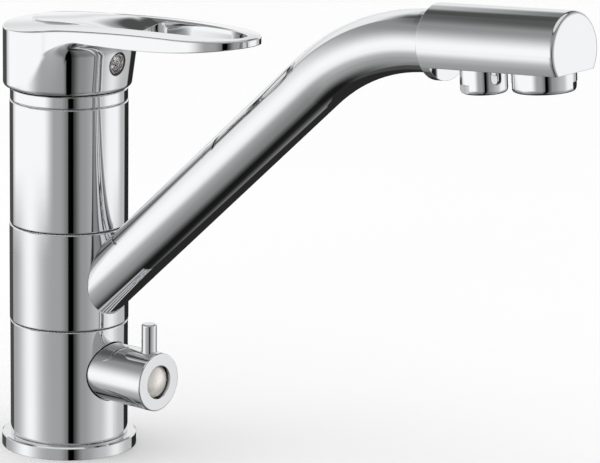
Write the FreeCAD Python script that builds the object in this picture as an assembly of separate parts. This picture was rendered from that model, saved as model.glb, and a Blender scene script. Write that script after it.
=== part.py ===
import FreeCAD, Part
import math
import os

# Three way kitchen tap: a single lever mixer whose turning spout carries two separate waterways,
# one for mixed mains water and one for filtered water, with its own quarter turn knob.
# Frame: origin on the body axis at the worktop, +Z up, +X towards the outlets. Millimetres.

V = FreeCAD.Vector
X_DIR = V(1, 0, 0)
Y_DIR = V(0, 1, 0)
Z_DIR = V(0, 0, 1)

# ---- shared fits ---------------------------------------------------------------------------------
running_clearance = 0.08      # radial, between a piece that turns and its bearing
seat_clearance = 0.05         # radial, between pieces that are screwed, pressed or soldered together
turning_gap = 0.35            # axial, between the turning collar and the bodies above and below it
face_gap = 0.10               # axial, between sealing faces that slide on each other
end_gap = 0.30                # axial, at the end of a blind socket

# ---- body column ---------------------------------------------------------------------------------
body_r = 24.0
base_ring_r = 27.5
base_ring_h = 5.3
base_ring_chamfer = 0.6
body_spigot_r = 22.0          # foot of the casting inside the base ring
lower_body_h = 47.4           # visible height of the lower body
body_edge_r = 0.5             # rounding of the sleeves' rims
collar_r = 24.2
collar_h = 40.0
upper_body_h = 50.8
seam_gap = 0.5                # groove under the top ring
top_ring_r = 23.8
top_ring_h = 4.8
top_ring_lip_r = 20.6
top_ring_lip_h = 2.0
handle_gap = 0.5              # between the top ring and the handle's skirt

gasket_r_out = 26.0
gasket_r_in = 23.4
gasket_h = 1.5

# ---- inlets and fixing in the underside ----------------------------------------------------------
inlet_thread_r = 4.5          # hose tails, M10 x 1
inlet_depth = 14.0
inlet_offset_y = 10.8         # hot at -Y, cold at +Y
filter_inlet_x = -12.5
stud_thread_r = 3.35          # fixing stud, M8
stud_x = 13.5
stud_depth = 14.0
passage_r = 3.0
mixed_passage_x = -9.5

# ---- neck of the casting -------------------------------------------------------------------------
neck_r = 17.5
neck_spigot_r = 15.0          # threaded top of the neck, carries the upper body
neck_spigot_h = 7.4
groove_r = 15.9               # floor of the O-ring grooves
groove_w = 2.4
annulus_r = 16.0              # floor of the two ring shaped waterways
o_ring_section_r = 0.8
o_ring_heights = (8.0, 20.8, 33.8)      # above the lower body
filter_annulus = (11.0, 18.2)           # lower ring waterway, from and to, above the lower body
mixed_annulus = (23.6, 31.2)            # upper ring waterway
glide_ring_h = 2.2
glide_ring_r = 21.0

# ---- spout ---------------------------------------------------------------------------------------
spout_axis_z = 52.9           # where the tube's axis would meet the body's axis
spout_slope = 42.1            # degrees above level
spout_run = 173.6             # straight length from the body's axis to the bend
spout_bend_r = 88.7
spout_tube_r = 11.9
spout_tube_wall = 1.2
spout_root_r = 20.5           # the tube's end is soldered in the collar down to this radius
line_root_r = 19.5            # the filtered line's end
filter_tube_r = 3.0
filter_tube_wall = 0.8
filter_tube_drop = 1.6        # the filtered line lies this far below the spout's axis

# ---- spout head, in its own frame: s along its axis, n up from it --------------------------------
head_tilt = 4.5               # degrees above level
head_r = 14.5
head_s0 = 4.3                 # rear face, from the end of the bend
head_length = 62.6
head_front_round = 1.5
head_rear_chamfer = 0.6
head_flat_n = -8.1            # flat underside that carries the outlets
head_step_s = 8.6             # the flat starts here
head_socket_depth = 3.0
head_spigot_length = 6.0      # nose of the head that enters the tube
line_socket_depth = 6.0       # the filtered line runs this much further into the head than the tube
head_main_channel_r = 3.6
head_main_channel_n = 5.9
head_filter_channel_r = 1.9

# ---- outlets -------------------------------------------------------------------------------------
main_outlet_s = 52.4
main_outlet_r = 12.1
main_outlet_h = 7.6
main_thread_r = 10.0
filter_outlet_s = 24.9
filter_outlet_r = 8.9
filter_outlet_h = 9.9
filter_thread_r = 6.9
outlet_thread_h = 3.0
outlet_edge_r = 1.8
outlet_wall = 2.2
outlet_flat_depth = 0.8
outlet_flat_h = 3.7
main_flat_turn = 116.5        # degrees about the outlet, from the head's axis to its flats
filter_flat_turn = 155.0
insert_h = 5.0
insert_recess = 1.2
insert_rib = 0.9
washer_h = 1.5

# ---- filtered water valve and knob, along +X -----------------------------------------------------
valve_z = 34.4
knob_r = 11.9
knob_face_x = 48.8
knob_port_gap = 0.4           # radial gap between the knob and its port in the body
port_floor_x = 18.6
valve_bore_r = 9.0
valve_bore_x = 5.0
valve_cavity_r = 6.7
valve_nose_r = 8.2
valve_nose_x = 24.0
seal_t = 1.3
disc_t = 2.3
driver_t = 2.0
spindle_r = 3.0
spindle_square = 4.2
spindle_end_x = 36.0
spindle_square_length = 6.5
spindle_ring_section_r = 0.7
spindle_ring_x = 19.5
knob_bore_r = 9.2
knob_web_x = 31.0
knob_web_t = 7.0
knob_recess_r = 6.9
knob_ledge_w = 1.5            # step inside the knob's face that the cap seats on
knob_cap_r = 6.6
knob_cap_t = 4.6
knob_cap_dome = 0.5
knob_cap_flange = 1.0
knob_edge_r = 0.6
knob_screw_r = 1.2
knob_screw_length = 8.0       # held in the spindle
knob_screw_head_r = 2.6
knob_screw_head_h = 2.2
knob_screw_slot = 0.8
pin_x = 43.5
pin_r = 3.1
pin_top_z = 57.9
pin_thread_r = 1.9
pin_thread_h = 3.4
pin_edge_r = 0.8

# ---- cartridge -----------------------------------------------------------------------------------
floor_t = 3.1                 # floor of the cartridge chamber
cartridge_r = 20.25
cartridge_base_h = 9.0
cartridge_bore_r = 17.6
fixed_disc_t = 5.5
moving_disc_t = 4.8
moving_disc_r = 13.8
disc_channel_r = 6.2          # mixing chamber in the moving disc's underside
disc_channel_x = 2.0
disc_channel_h = 2.4
carrier_r = 13.2
carrier_h = 6.4
rotor_flange_r = 16.5
rotor_flange_t = 2.4
cartridge_roof_t = 3.1
cartridge_spigot_r = 15.0
cartridge_spigot_h = 11.0
rotor_r = 12.0
rotor_top_h = 2.3             # above the cartridge's spigot
rotor_slot_x = 16.4
rotor_slot_y = 8.3
pivot_h = 7.5                 # lever pivot above the cartridge's shoulder
pivot_r = 1.5
pivot_length = 22.6
nut_thread_h = 7.8
nut_hex_h = 4.7
nut_hex_flats = 33.0
upper_neck_r = 22.2
upper_neck_h = 3.0
seal_ring_r = 4.2
seal_section_r = 0.85

# ---- lever stem, in its own frame: v along the stem from the pivot, u forward across it ----------
stem_lean = 8.0               # degrees forward in the closed position
stem_square = 8.0
stem_top_v = 26.5
stem_shoulder_v = 3.0
finger_r = 2.4
ball_r = 3.3
ball_v = 14.2                 # ball centre below the pivot
lift_range = 25.0             # degrees
pocket_clearance = 0.3

# ---- handle --------------------------------------------------------------------------------------
skirt_r = 26.6
skirt_edge_r = 1.2
column_x = -1.2               # the leaning column under the lever stands behind the body's axis
column_foot_r = 26.1
column_wall = 2.0             # at the foot
column_h = 16.0
column_top_r = 28.2
arch_mid = (29.7, 21.1)       # x and height above the skirt's foot
arch_end = (35.1, 23.1)       # where the arch meets the lever's underside
lever_under_mid = (75.0, 25.0)
lever_under_tip = (101.5, 28.9)
lever_length = 96.5
lever_nose_length = 32.0
lever_half_width = 19.6
lever_side_slope = 0.072      # how much the sides open towards the body, per mm
lever_waist_r = 35.0          # blend between the lever's sides and the round skirt
top_back = (-26.6, 24.4)      # side view of the top surface, height above the skirt's foot
top_mid = (25.0, 29.6)
top_tip = (100.0, 31.1)
top_crown_r = 150.0
top_edge_r = 0.8              # rounding of the lever's rim
blank_h = 60.0                # blanks that the handle is cut from are taller than it
blank_reach = 6.0             # and run past its ends
blank_half_width = 32.0
tongue_x = 2.5                # widest place of the oval tongue that is raised as a pad and sinks to the loop
tongue_half_width = 14.5
tongue_back = 18.5            # its reach from there to the back and to the front
tongue_front = 86.0
tongue_edge_y = 16.0
# along the tongue: x, height of its middle above the skirt's foot, rise of its surface at tongue_edge_y
tongue_rows = (
    (-18.0, 26.6, -1.45),
    (-7.0, 28.05, -1.45),
    (4.0, 29.0, -1.35),
    (15.0, 29.45, -0.95),
    (26.0, 29.1, -0.2),
    (37.0, 28.4, 0.75),
    (48.0, 27.8, 2.0),
    (59.0, 28.2, 2.7),
    (70.0, 29.3, 1.9),
    (81.0, 30.05, 1.45),
    (92.0, 30.6, 1.2),
)
hole_back_x = 52.0
hole_back_r = 9.5
hole_front_x = 77.5
hole_front_r = 8.5
hole_top_edge_r = 0.5
hole_under_edge_r = 1.2
roof_h = 20.5                 # inside height of the skirt
roof_round = 3.0
boss_r = 8.0
boss_v = 12.5
socket_depth_v = 27.3
web_r = 6.2
screw_r = 2.45
screw_length = 9.0
screw_key = 2.5
plug_z = 11.7                 # above the skirt's foot
plug_r = 4.4
plug_t = 3.0
plug_dome = 0.4
plug_hole_r = 0.9

# ---- heights that follow -------------------------------------------------------------------------
lower_z1 = base_ring_h + lower_body_h
collar_z0 = lower_z1 + turning_gap
collar_z1 = collar_z0 + collar_h
upper_z0 = collar_z1 + turning_gap
upper_z1 = upper_z0 + upper_body_h
top_ring_z0 = upper_z1 + seam_gap
top_ring_z1 = top_ring_z0 + top_ring_h
handle_z0 = top_ring_z1 + handle_gap
neck_top_z = upper_z0 + neck_spigot_h
seat_z = neck_top_z + face_gap + floor_t
chamber_r = cartridge_r + 2 * seat_clearance
fixed_disc_z = seat_z + cartridge_base_h
moving_disc_z = fixed_disc_z + fixed_disc_t + face_gap
carrier_z = moving_disc_z + moving_disc_t
rotor_z = carrier_z + carrier_h + end_gap
shoulder_z = rotor_z + rotor_flange_t + face_gap + cartridge_roof_t
cartridge_top_z = shoulder_z + cartridge_spigot_h
pivot_z = shoulder_z + pivot_h
rotor_top_z = cartridge_top_z + rotor_top_h

# ---- spout path, in the plane y = 0 --------------------------------------------------------------
slope = math.radians(spout_slope)
tilt = math.radians(head_tilt)
bend_x0 = spout_run * math.cos(slope)
bend_z0 = spout_axis_z + spout_run * math.sin(slope)
bend_cx = bend_x0 + spout_bend_r * math.sin(slope)
bend_cz = bend_z0 - spout_bend_r * math.cos(slope)
bend_x1 = bend_cx - spout_bend_r * math.sin(tilt)
bend_z1 = bend_cz + spout_bend_r * math.cos(tilt)
head_s1 = head_s0 + head_length
tube_end_s = head_s0 + head_socket_depth


# ---- small helpers -------------------------------------------------------------------------------
def cylinder(radius, start, length, axis=Z_DIR):
    return Part.makeCylinder(radius, length, start, axis)


def ring(r_out, r_in, z0, z1):
    return cylinder(r_out, V(0, 0, z0), z1 - z0).cut(cylinder(r_in, V(0, 0, z0 - 1), z1 - z0 + 2))


def turned(points, axis=Z_DIR, origin=V(0, 0, 0)):
    """Solid of revolution about an axis from a closed outline of points."""
    face = Part.Face(Part.makePolygon(points + [points[0]]))
    return face.revolve(origin, axis, 360)


def torus_z(major, minor, z, x=0.0, y=0.0):
    return Part.makeTorus(major, minor, V(x, y, z), Z_DIR)


def block(x0, x1, y0, y1, z0, z1):
    return Part.makeBox(x1 - x0, y1 - y0, z1 - z0, V(x0, y0, z0))


def circle_edges(solid, radius, z):
    """Circular edges of a given radius and height."""
    found = []
    for edge in solid.Edges:
        curve = edge.Curve
        if not isinstance(curve, Part.Circle):
            continue
        if abs(curve.Radius - radius) < 1e-4 and abs(curve.Center.z - z) < 1e-4:
            found.append(edge)
    return found


def end_circles(solid, x):
    """Circular edges of a bar along X at one of its ends."""
    found = []
    for edge in solid.Edges:
        if isinstance(edge.Curve, Part.Circle) and abs(edge.Curve.Center.x - x) < 1e-4:
            found.append(edge)
    return found


def in_head(shape):
    """Place a shape drawn in the head's frame (s along X, n along Z)."""
    shape.rotate(V(0, 0, 0), Y_DIR, -head_tilt)
    shape.translate(V(bend_x1, 0, bend_z1))
    return shape


def on_stem(shape):
    """Place a shape drawn in the stem's frame (v along Z from the pivot, u along X)."""
    shape.rotate(V(0, 0, 0), Y_DIR, stem_lean)
    shape.translate(V(0, 0, pivot_z))
    return shape


def slope_rod(radius, drop, start):
    """Straight round bar on the spout's slope, drop below its axis, from start to the bend."""
    down = V(math.sin(slope), 0, -math.cos(slope)) * drop
    along = V(math.cos(slope), 0, math.sin(slope))
    return cylinder(radius, V(0, 0, spout_axis_z) + along * start + down, spout_run - start, along)


def spout_rod(radius, drop, start, end_s):
    """Round bar along the spout's path, drop below its axis, from start on the slope to end_s in the head."""
    down = V(math.sin(slope), 0, -math.cos(slope)) * drop
    down_head = V(math.sin(tilt), 0, -math.cos(tilt)) * drop
    along = V(math.cos(slope), 0, math.sin(slope))
    along_head = V(math.cos(tilt), 0, math.sin(tilt))
    first = V(0, 0, spout_axis_z) + along * start + down
    bend_start = V(bend_x0, 0, bend_z0) + down
    bend_end = V(bend_x1, 0, bend_z1) + down_head
    middle = (slope + tilt) / 2
    bend_r = spout_bend_r - drop
    bend_mid = V(bend_cx - bend_r * math.sin(middle), 0, bend_cz + bend_r * math.cos(middle))
    last = bend_end + along_head * end_s
    path = Part.Wire([
        Part.makeLine(first, bend_start),
        Part.Arc(bend_start, bend_mid, bend_end).toShape(),
        Part.makeLine(bend_end, last),
    ])
    section = Part.Wire([Part.makeCircle(radius, first, along)])
    return path.makePipeShell([section], True, False)


# ---- fixed pieces --------------------------------------------------------------------------------
def base_ring():
    bore = body_spigot_r + seat_clearance
    solid = turned([
        V(bore, 0, 0),
        V(base_ring_r, 0, 0),
        V(base_ring_r, 0, base_ring_h - base_ring_chamfer),
        V(base_ring_r - base_ring_chamfer, 0, base_ring_h),
        V(bore, 0, base_ring_h),
    ])
    groove = ring(gasket_r_out + seat_clearance, gasket_r_in - seat_clearance, -1, gasket_h)
    return solid.cut(groove)


def deck_gasket():
    return ring(gasket_r_out, gasket_r_in, 0, gasket_h)


def inlet(x, y, bore_r, depth, top_z):
    """A threaded mouth in the underside and the passage above it."""
    hole = cylinder(bore_r, V(x, y, -1), depth + 1)
    if top_z is None:
        return hole
    return hole.fuse(cylinder(passage_r, V(x, y, depth - 1), top_z - depth + 1))


def main_body():
    sleeve = cylinder(body_r, V(0, 0, base_ring_h), lower_body_h)
    rims = circle_edges(sleeve, body_r, base_ring_h) + circle_edges(sleeve, body_r, lower_z1)
    sleeve = sleeve.makeFillet(body_edge_r, rims)
    foot = cylinder(body_spigot_r, V(0, 0, 0), base_ring_h)
    neck = cylinder(neck_r, V(0, 0, lower_z1), upper_z0 - lower_z1)
    spigot = cylinder(neck_spigot_r, V(0, 0, upper_z0), neck_spigot_h)
    solid = sleeve.multiFuse([foot, neck, spigot]).removeSplitter()
    cuts = []
    for height in o_ring_heights:
        middle = lower_z1 + height
        cuts.append(ring(neck_r + 1, groove_r, middle - groove_w / 2, middle + groove_w / 2))
    for low, high in (filter_annulus, mixed_annulus):
        cuts.append(ring(neck_r + 1, annulus_r, lower_z1 + low, lower_z1 + high))
    top = neck_top_z + 1
    filter_port_z = lower_z1 + sum(filter_annulus) / 2
    mixed_port_z = lower_z1 + sum(mixed_annulus) / 2
    cuts.append(inlet(0, -inlet_offset_y, inlet_thread_r, inlet_depth, top))
    cuts.append(inlet(0, inlet_offset_y, inlet_thread_r, inlet_depth, top))
    cuts.append(inlet(filter_inlet_x, 0, inlet_thread_r, inlet_depth, valve_z))
    cuts.append(inlet(stud_x, 0, stud_thread_r, stud_depth, None))
    cuts.append(cylinder(passage_r, V(filter_inlet_x, 0, valve_z), valve_bore_x - filter_inlet_x + 1, X_DIR))
    cuts.append(cylinder(valve_bore_r, V(valve_bore_x, 0, valve_z), body_r, X_DIR))
    cuts.append(cylinder(knob_r + knob_port_gap, V(port_floor_x, 0, valve_z), body_r, X_DIR))
    outlet_x = (valve_bore_x + port_floor_x) / 2
    cuts.append(cylinder(passage_r, V(outlet_x, 0, valve_z), filter_port_z - valve_z, Z_DIR))
    cuts.append(cylinder(passage_r, V(outlet_x, 0, filter_port_z), neck_r, X_DIR))
    cuts.append(cylinder(passage_r, V(mixed_passage_x, 0, mixed_port_z), top - mixed_port_z, Z_DIR))
    cuts.append(cylinder(passage_r, V(mixed_passage_x, 0, mixed_port_z), neck_r, -X_DIR))
    return solid.cut(cuts)


def collar_o_rings():
    rings = []
    for height in o_ring_heights:
        major = neck_r + running_clearance - o_ring_section_r - seat_clearance
        rings.append(torus_z(major, o_ring_section_r, lower_z1 + height))
    return Part.makeCompound(rings)


def glide_ring(z0):
    return ring(glide_ring_r, neck_r + seat_clearance, z0, z0 + glide_ring_h)


def collar_glide_ring_lower():
    return glide_ring(lower_z1)


def collar_glide_ring_upper():
    return glide_ring(upper_z0 - glide_ring_h)


def upper_body():
    shell = cylinder(body_r, V(0, 0, upper_z0), upper_body_h)
    rims = circle_edges(shell, body_r, upper_z0) + circle_edges(shell, body_r, upper_z1)
    shell = shell.makeFillet(body_edge_r, rims)
    shell = shell.fuse(cylinder(upper_neck_r, V(0, 0, upper_z1), upper_neck_h)).removeSplitter()
    cuts = [
        cylinder(neck_spigot_r + seat_clearance, V(0, 0, upper_z0 - 1), neck_spigot_h + face_gap + 1),
        cylinder(chamber_r, V(0, 0, seat_z), upper_z1 + upper_neck_h - seat_z + 1),
    ]
    for x, y in ((0, -inlet_offset_y), (0, inlet_offset_y), (mixed_passage_x, 0)):
        cuts.append(cylinder(passage_r, V(x, y, neck_top_z), floor_t + 1))
    return shell.cut(cuts)


def top_ring():
    bore = upper_neck_r + seat_clearance
    lip_z = top_ring_z1 - top_ring_lip_h
    solid = turned([
        V(bore, 0, top_ring_z0),
        V(top_ring_r, 0, top_ring_z0),
        V(top_ring_r, 0, top_ring_z1 - body_edge_r),
        V(top_ring_r - body_edge_r, 0, top_ring_z1),
        V(top_ring_lip_r, 0, top_ring_z1),
        V(top_ring_lip_r, 0, lip_z),
        V(bore, 0, lip_z),
    ])
    return solid


# ---- cartridge -----------------------------------------------------------------------------------
def cartridge_ports():
    return ((0, -inlet_offset_y), (0, inlet_offset_y), (mixed_passage_x, 0))


def cartridge_housing():
    bore_top = shoulder_z - cartridge_roof_t
    outline = [
        V(0, 0, seat_z),
        V(cartridge_r, 0, seat_z),
        V(cartridge_r, 0, shoulder_z),
        V(cartridge_spigot_r, 0, shoulder_z),
        V(cartridge_spigot_r, 0, cartridge_top_z),
        V(rotor_r + running_clearance, 0, cartridge_top_z),
        V(rotor_r + running_clearance, 0, bore_top),
        V(cartridge_bore_r, 0, bore_top),
        V(cartridge_bore_r, 0, fixed_disc_z),
        V(0, 0, fixed_disc_z),
    ]
    solid = turned(outline)
    cuts = []
    for x, y in cartridge_ports():
        cuts.append(cylinder(passage_r, V(x, y, seat_z - 1), cartridge_base_h + 2))
        pocket_r = seal_ring_r + seal_section_r + seat_clearance
        cuts.append(cylinder(pocket_r, V(x, y, seat_z - 1), 1 + 2 * seal_section_r))
    return solid.cut(cuts)


def cartridge_seals():
    rings = []
    for x, y in cartridge_ports():
        rings.append(torus_z(seal_ring_r, seal_section_r, seat_z + seal_section_r, x, y))
    return Part.makeCompound(rings)


def cartridge_fixed_disc():
    solid = cylinder(cartridge_bore_r - seat_clearance, V(0, 0, fixed_disc_z), fixed_disc_t)
    ports = []
    for x, y in cartridge_ports():
        ports.append(cylinder(passage_r, V(x, y, fixed_disc_z - 1), fixed_disc_t + 2))
    return solid.cut(ports)


def disc_rest_x():
    """The moving disc's centre in the closed position: half of its travel behind the axis."""
    return -ball_travel() / 2


def ball_x(lift):
    """Place of the stem's ball along X when the lever is lifted by an angle in degrees."""
    return -ball_v * math.sin(math.radians(stem_lean - lift))


def ball_travel():
    return ball_x(lift_range) - ball_x(0)


def cartridge_moving_disc():
    x = disc_rest_x()
    solid = cylinder(moving_disc_r, V(x, 0, moving_disc_z), moving_disc_t)
    channel = cylinder(disc_channel_r, V(x - disc_channel_x, 0, moving_disc_z - 1), 1 + disc_channel_h)
    return solid.cut(channel)


def cartridge_carrier():
    x = disc_rest_x()
    solid = cylinder(carrier_r, V(x, 0, carrier_z), carrier_h)
    half = ball_r + pocket_clearance
    pocket_z = pivot_z - ball_v - ball_r - end_gap
    pocket = block(ball_x(0) - half, ball_x(0) + half, -half, half, pocket_z, carrier_z + carrier_h + 1)
    return solid.cut(pocket)


def cartridge_rotor():
    flange = cylinder(rotor_flange_r, V(0, 0, rotor_z), rotor_flange_t)
    hub = cylinder(rotor_r, V(0, 0, rotor_z), rotor_top_z - rotor_z)
    slot = block(
        -rotor_slot_x / 2, rotor_slot_x / 2,
        -rotor_slot_y / 2, rotor_slot_y / 2,
        rotor_z - 1, rotor_top_z + 1,
    )
    pin_bore = cylinder(pivot_r + seat_clearance, V(0, -rotor_r - 1, pivot_z), 2 * rotor_r + 2, Y_DIR)
    return flange.fuse(hub).removeSplitter().cut([slot, pin_bore])


def pivot_pin():
    return cylinder(pivot_r, V(0, -pivot_length / 2, pivot_z), pivot_length, Y_DIR)


def cartridge_stem():
    half = stem_square / 2
    shank = block(-half, half, -half, half, -stem_shoulder_v, stem_top_v)
    finger = cylinder(finger_r, V(0, 0, -ball_v), ball_v - stem_shoulder_v + 1)
    ball = Part.makeSphere(ball_r, V(0, 0, -ball_v))
    pin_bore = cylinder(pivot_r + running_clearance, V(0, -half - 1, 0), stem_square + 2, Y_DIR)
    return on_stem(shank.multiFuse([finger, ball]).cut(pin_bore))


def hexagon(flats, z0, height):
    corner = flats / 2 / math.cos(math.radians(30))
    points = []
    for k in range(7):
        angle = math.radians(60 * k)
        points.append(V(corner * math.cos(angle), corner * math.sin(angle), z0))
    return Part.Face(Part.makePolygon(points)).extrude(V(0, 0, height))


def cartridge_nut():
    thread = cylinder(cartridge_r, V(0, 0, shoulder_z), nut_thread_h)
    head = hexagon(nut_hex_flats, shoulder_z + nut_thread_h, nut_hex_h)
    height = nut_thread_h + nut_hex_h
    bore = cylinder(cartridge_spigot_r + seat_clearance, V(0, 0, shoulder_z - 1), height + 2)
    return thread.fuse(head).cut(bore)


# ---- turning spout -------------------------------------------------------------------------------
def tube_start():
    """Distance along the slope at which the bars start, well inside the body's axis."""
    return neck_r / math.cos(slope) * 0.5


def spout_tube():
    outer = spout_rod(spout_tube_r, 0, tube_start(), tube_end_s)
    inner = spout_rod(spout_tube_r - spout_tube_wall, 0, tube_start() - 1, tube_end_s + 1)
    core = cylinder(spout_root_r, V(0, 0, 0), upper_z1)
    return outer.cut(inner).cut(core)


def filter_tube():
    end = tube_end_s + line_socket_depth
    outer = spout_rod(filter_tube_r, filter_tube_drop, tube_start(), end)
    inner = spout_rod(filter_tube_r - filter_tube_wall, filter_tube_drop, tube_start() - 1, end + 1)
    core = cylinder(line_root_r, V(0, 0, 0), upper_z1)
    return outer.cut(inner).cut(core)


def spout_collar():
    sleeve = cylinder(collar_r, V(0, 0, collar_z0), collar_h)
    rims = circle_edges(sleeve, collar_r, collar_z0) + circle_edges(sleeve, collar_r, collar_z1)
    sleeve = sleeve.makeFillet(body_edge_r, rims)
    bore = cylinder(neck_r + running_clearance, V(0, 0, collar_z0 - 1), collar_h + 2)
    seat_r = glide_ring_r + running_clearance
    seat_depth = glide_ring_h - turning_gap + face_gap
    lower_seat = cylinder(seat_r, V(0, 0, collar_z0 - 1), seat_depth + 1)
    upper_seat = cylinder(seat_r, V(0, 0, collar_z1 - seat_depth), seat_depth + 1)
    tube_socket = slope_rod(spout_tube_r + seat_clearance, 0, tube_start())
    tube_socket = tube_socket.cut(cylinder(spout_root_r, V(0, 0, 0), upper_z1))
    line_socket = slope_rod(filter_tube_r + seat_clearance, filter_tube_drop, tube_start())
    line_socket = line_socket.cut(cylinder(line_root_r, V(0, 0, 0), upper_z1))
    line_z = spout_axis_z + line_root_r * math.tan(slope) - filter_tube_drop / math.cos(slope)
    mixed_port_z = lower_z1 + sum(mixed_annulus) / 2
    filter_port_r = filter_tube_r - filter_tube_wall
    filter_port = cylinder(filter_port_r, V(neck_r - 1, 0, line_z), line_root_r - neck_r + 2, X_DIR)
    mixed_port = cylinder(passage_r, V(neck_r - 1, 0, mixed_port_z), body_r - neck_r, X_DIR)
    return sleeve.cut([bore, lower_seat, upper_seat, tube_socket, line_socket, filter_port, mixed_port])


def spout_head():
    blank = cylinder(head_r, V(head_s0, 0, 0), head_length, X_DIR)
    blank = blank.makeFillet(head_front_round, end_circles(blank, head_s1))
    blank = blank.makeChamfer(head_rear_chamfer, end_circles(blank, head_s0))
    flat = block(head_step_s, head_s1 + 1, -head_r, head_r, -head_r - 1, head_flat_n)
    socket_end = tube_end_s + face_gap
    socket = cylinder(spout_tube_r + seat_clearance, V(head_s0 - 1, 0, 0), socket_end - head_s0 + 1, X_DIR)
    nose_s = socket_end - head_spigot_length
    nose_r = spout_tube_r - spout_tube_wall - seat_clearance
    nose = cylinder(nose_r, V(nose_s, 0, 0), head_spigot_length + 1, X_DIR)
    solid = blank.cut([flat, socket]).fuse(nose)
    line_end = tube_end_s + line_socket_depth + end_gap
    cuts = [
        head_bore(filter_tube_r + seat_clearance, -filter_tube_drop, nose_s, line_end),
        head_bore(head_filter_channel_r, -filter_tube_drop, nose_s, filter_outlet_s),
        head_bore(head_main_channel_r, head_main_channel_n, nose_s, main_outlet_s),
        outlet_drop(filter_outlet_s, head_filter_channel_r, -filter_tube_drop),
        outlet_drop(main_outlet_s, head_main_channel_r, head_main_channel_n),
        outlet_mouth(main_outlet_s, main_thread_r),
        outlet_mouth(filter_outlet_s, filter_thread_r),
    ]
    return in_head(solid.cut(cuts))


def head_bore(radius, n, s0, s1):
    return cylinder(radius, V(s0 - 1, 0, n), s1 - s0 + 1, X_DIR)


def outlet_drop(s, radius, n):
    return cylinder(radius, V(s, 0, head_flat_n), n - head_flat_n)


def outlet_mouth(s, thread_r):
    depth = outlet_thread_h + washer_h
    return cylinder(thread_r + seat_clearance, V(s, 0, head_flat_n - 1), depth + 1)


def aerator_housing(s, radius, height, thread_r, flat_turn):
    """Turned sleeve with a threaded top, rounded foot and two spanner flats."""
    foot_n = head_flat_n - height
    skirt = cylinder(radius, V(s, 0, foot_n), height)
    skirt = skirt.makeFillet(outlet_edge_r, circle_edges(skirt, radius, foot_n))
    thread = cylinder(thread_r, V(s, 0, head_flat_n), outlet_thread_h)
    bore_r = thread_r - outlet_wall / 2
    bore = cylinder(bore_r, V(s, 0, foot_n - 1), height + outlet_thread_h + 2)
    flats = []
    for side in (-1, 1):
        inner = radius - outlet_flat_depth
        outer = radius + 1
        y0, y1 = sorted((side * inner, side * outer))
        flat = block(-radius, radius, y0, y1, foot_n - 1, foot_n + outlet_flat_h)
        flat.rotate(V(0, 0, 0), Z_DIR, flat_turn)
        flat.translate(V(s, 0, 0))
        flats.append(flat)
    return in_head(skirt.fuse(thread).cut([bore] + flats))


def aerator_insert(s, height, thread_r):
    """Plastic flow straightener: a rim crossed by ribs."""
    z0 = head_flat_n - height + insert_recess
    rim_r = thread_r - outlet_wall / 2 - seat_clearance
    inner_r = rim_r - insert_rib
    rim = cylinder(rim_r, V(s, 0, z0), insert_h).cut(cylinder(inner_r, V(s, 0, z0 - 1), insert_h + 2))
    core = cylinder(inner_r / 3, V(s, 0, z0), insert_h)
    ribs = []
    for k in range(3):
        rib = block(-inner_r - insert_rib / 2, inner_r + insert_rib / 2,
                    -insert_rib / 2, insert_rib / 2, z0, z0 + insert_h)
        rib.rotate(V(0, 0, 0), Z_DIR, 60 * k)
        rib.translate(V(s, 0, 0))
        ribs.append(rib)
    return in_head(rim.multiFuse([core] + ribs))


def aerator_washer(s, thread_r):
    n0 = head_flat_n + outlet_thread_h
    outer = cylinder(thread_r, V(s, 0, n0), washer_h)
    inner = cylinder(thread_r - outlet_wall, V(s, 0, n0 - 1), washer_h + 2)
    return in_head(outer.cut(inner))


def main_aerator_housing():
    return aerator_housing(main_outlet_s, main_outlet_r, main_outlet_h, main_thread_r, main_flat_turn)


def main_aerator_insert():
    return aerator_insert(main_outlet_s, main_outlet_h, main_thread_r)


def main_aerator_washer():
    return aerator_washer(main_outlet_s, main_thread_r)


def filter_aerator_housing():
    return aerator_housing(
        filter_outlet_s, filter_outlet_r, filter_outlet_h, filter_thread_r, filter_flat_turn)


def filter_aerator_insert():
    return aerator_insert(filter_outlet_s, filter_outlet_h, filter_thread_r)


def filter_aerator_washer():
    return aerator_washer(filter_outlet_s, filter_thread_r)


# ---- filtered water valve ------------------------------------------------------------------------
def along_valve(radius, x0, x1, y=0.0, z=0.0):
    return cylinder(radius, V(x0, y, valve_z + z), x1 - x0, X_DIR)


def valve_stack():
    """Places along X of the seal, the two discs and the spindle's driver."""
    seal_x = valve_bore_x + seat_clearance
    fixed_x = seal_x + seal_t
    moving_x = fixed_x + disc_t + face_gap
    driver_x = moving_x + disc_t
    return seal_x, fixed_x, moving_x, driver_x


def filter_valve_body():
    seal_x, fixed_x, moving_x, driver_x = valve_stack()
    cavity_x1 = driver_x + driver_t + face_gap
    body = along_valve(valve_bore_r - seat_clearance, seal_x, port_floor_x)
    nose = along_valve(valve_nose_r, port_floor_x, valve_nose_x)
    cavity = along_valve(valve_cavity_r, seal_x - 1, cavity_x1)
    bore = along_valve(spindle_r + running_clearance, cavity_x1 - 1, valve_nose_x + 1)
    groove_r_out = spindle_r + running_clearance + 2 * spindle_ring_section_r + seat_clearance
    half_w = spindle_ring_section_r + 2 * seat_clearance
    ring_groove = along_valve(groove_r_out, spindle_ring_x - half_w, spindle_ring_x + half_w)
    window = block(moving_x, driver_x, -valve_cavity_r / 2, valve_cavity_r / 2,
                   valve_z, valve_z + valve_bore_r + 1)
    return body.fuse(nose).removeSplitter().cut([cavity, bore, ring_groove, window])


def filter_valve_seal():
    x0 = valve_stack()[0]
    return along_valve(valve_cavity_r - seat_clearance, x0, x0 + seal_t).cut(
        along_valve(passage_r, x0 - 1, x0 + seal_t + 1))


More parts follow.
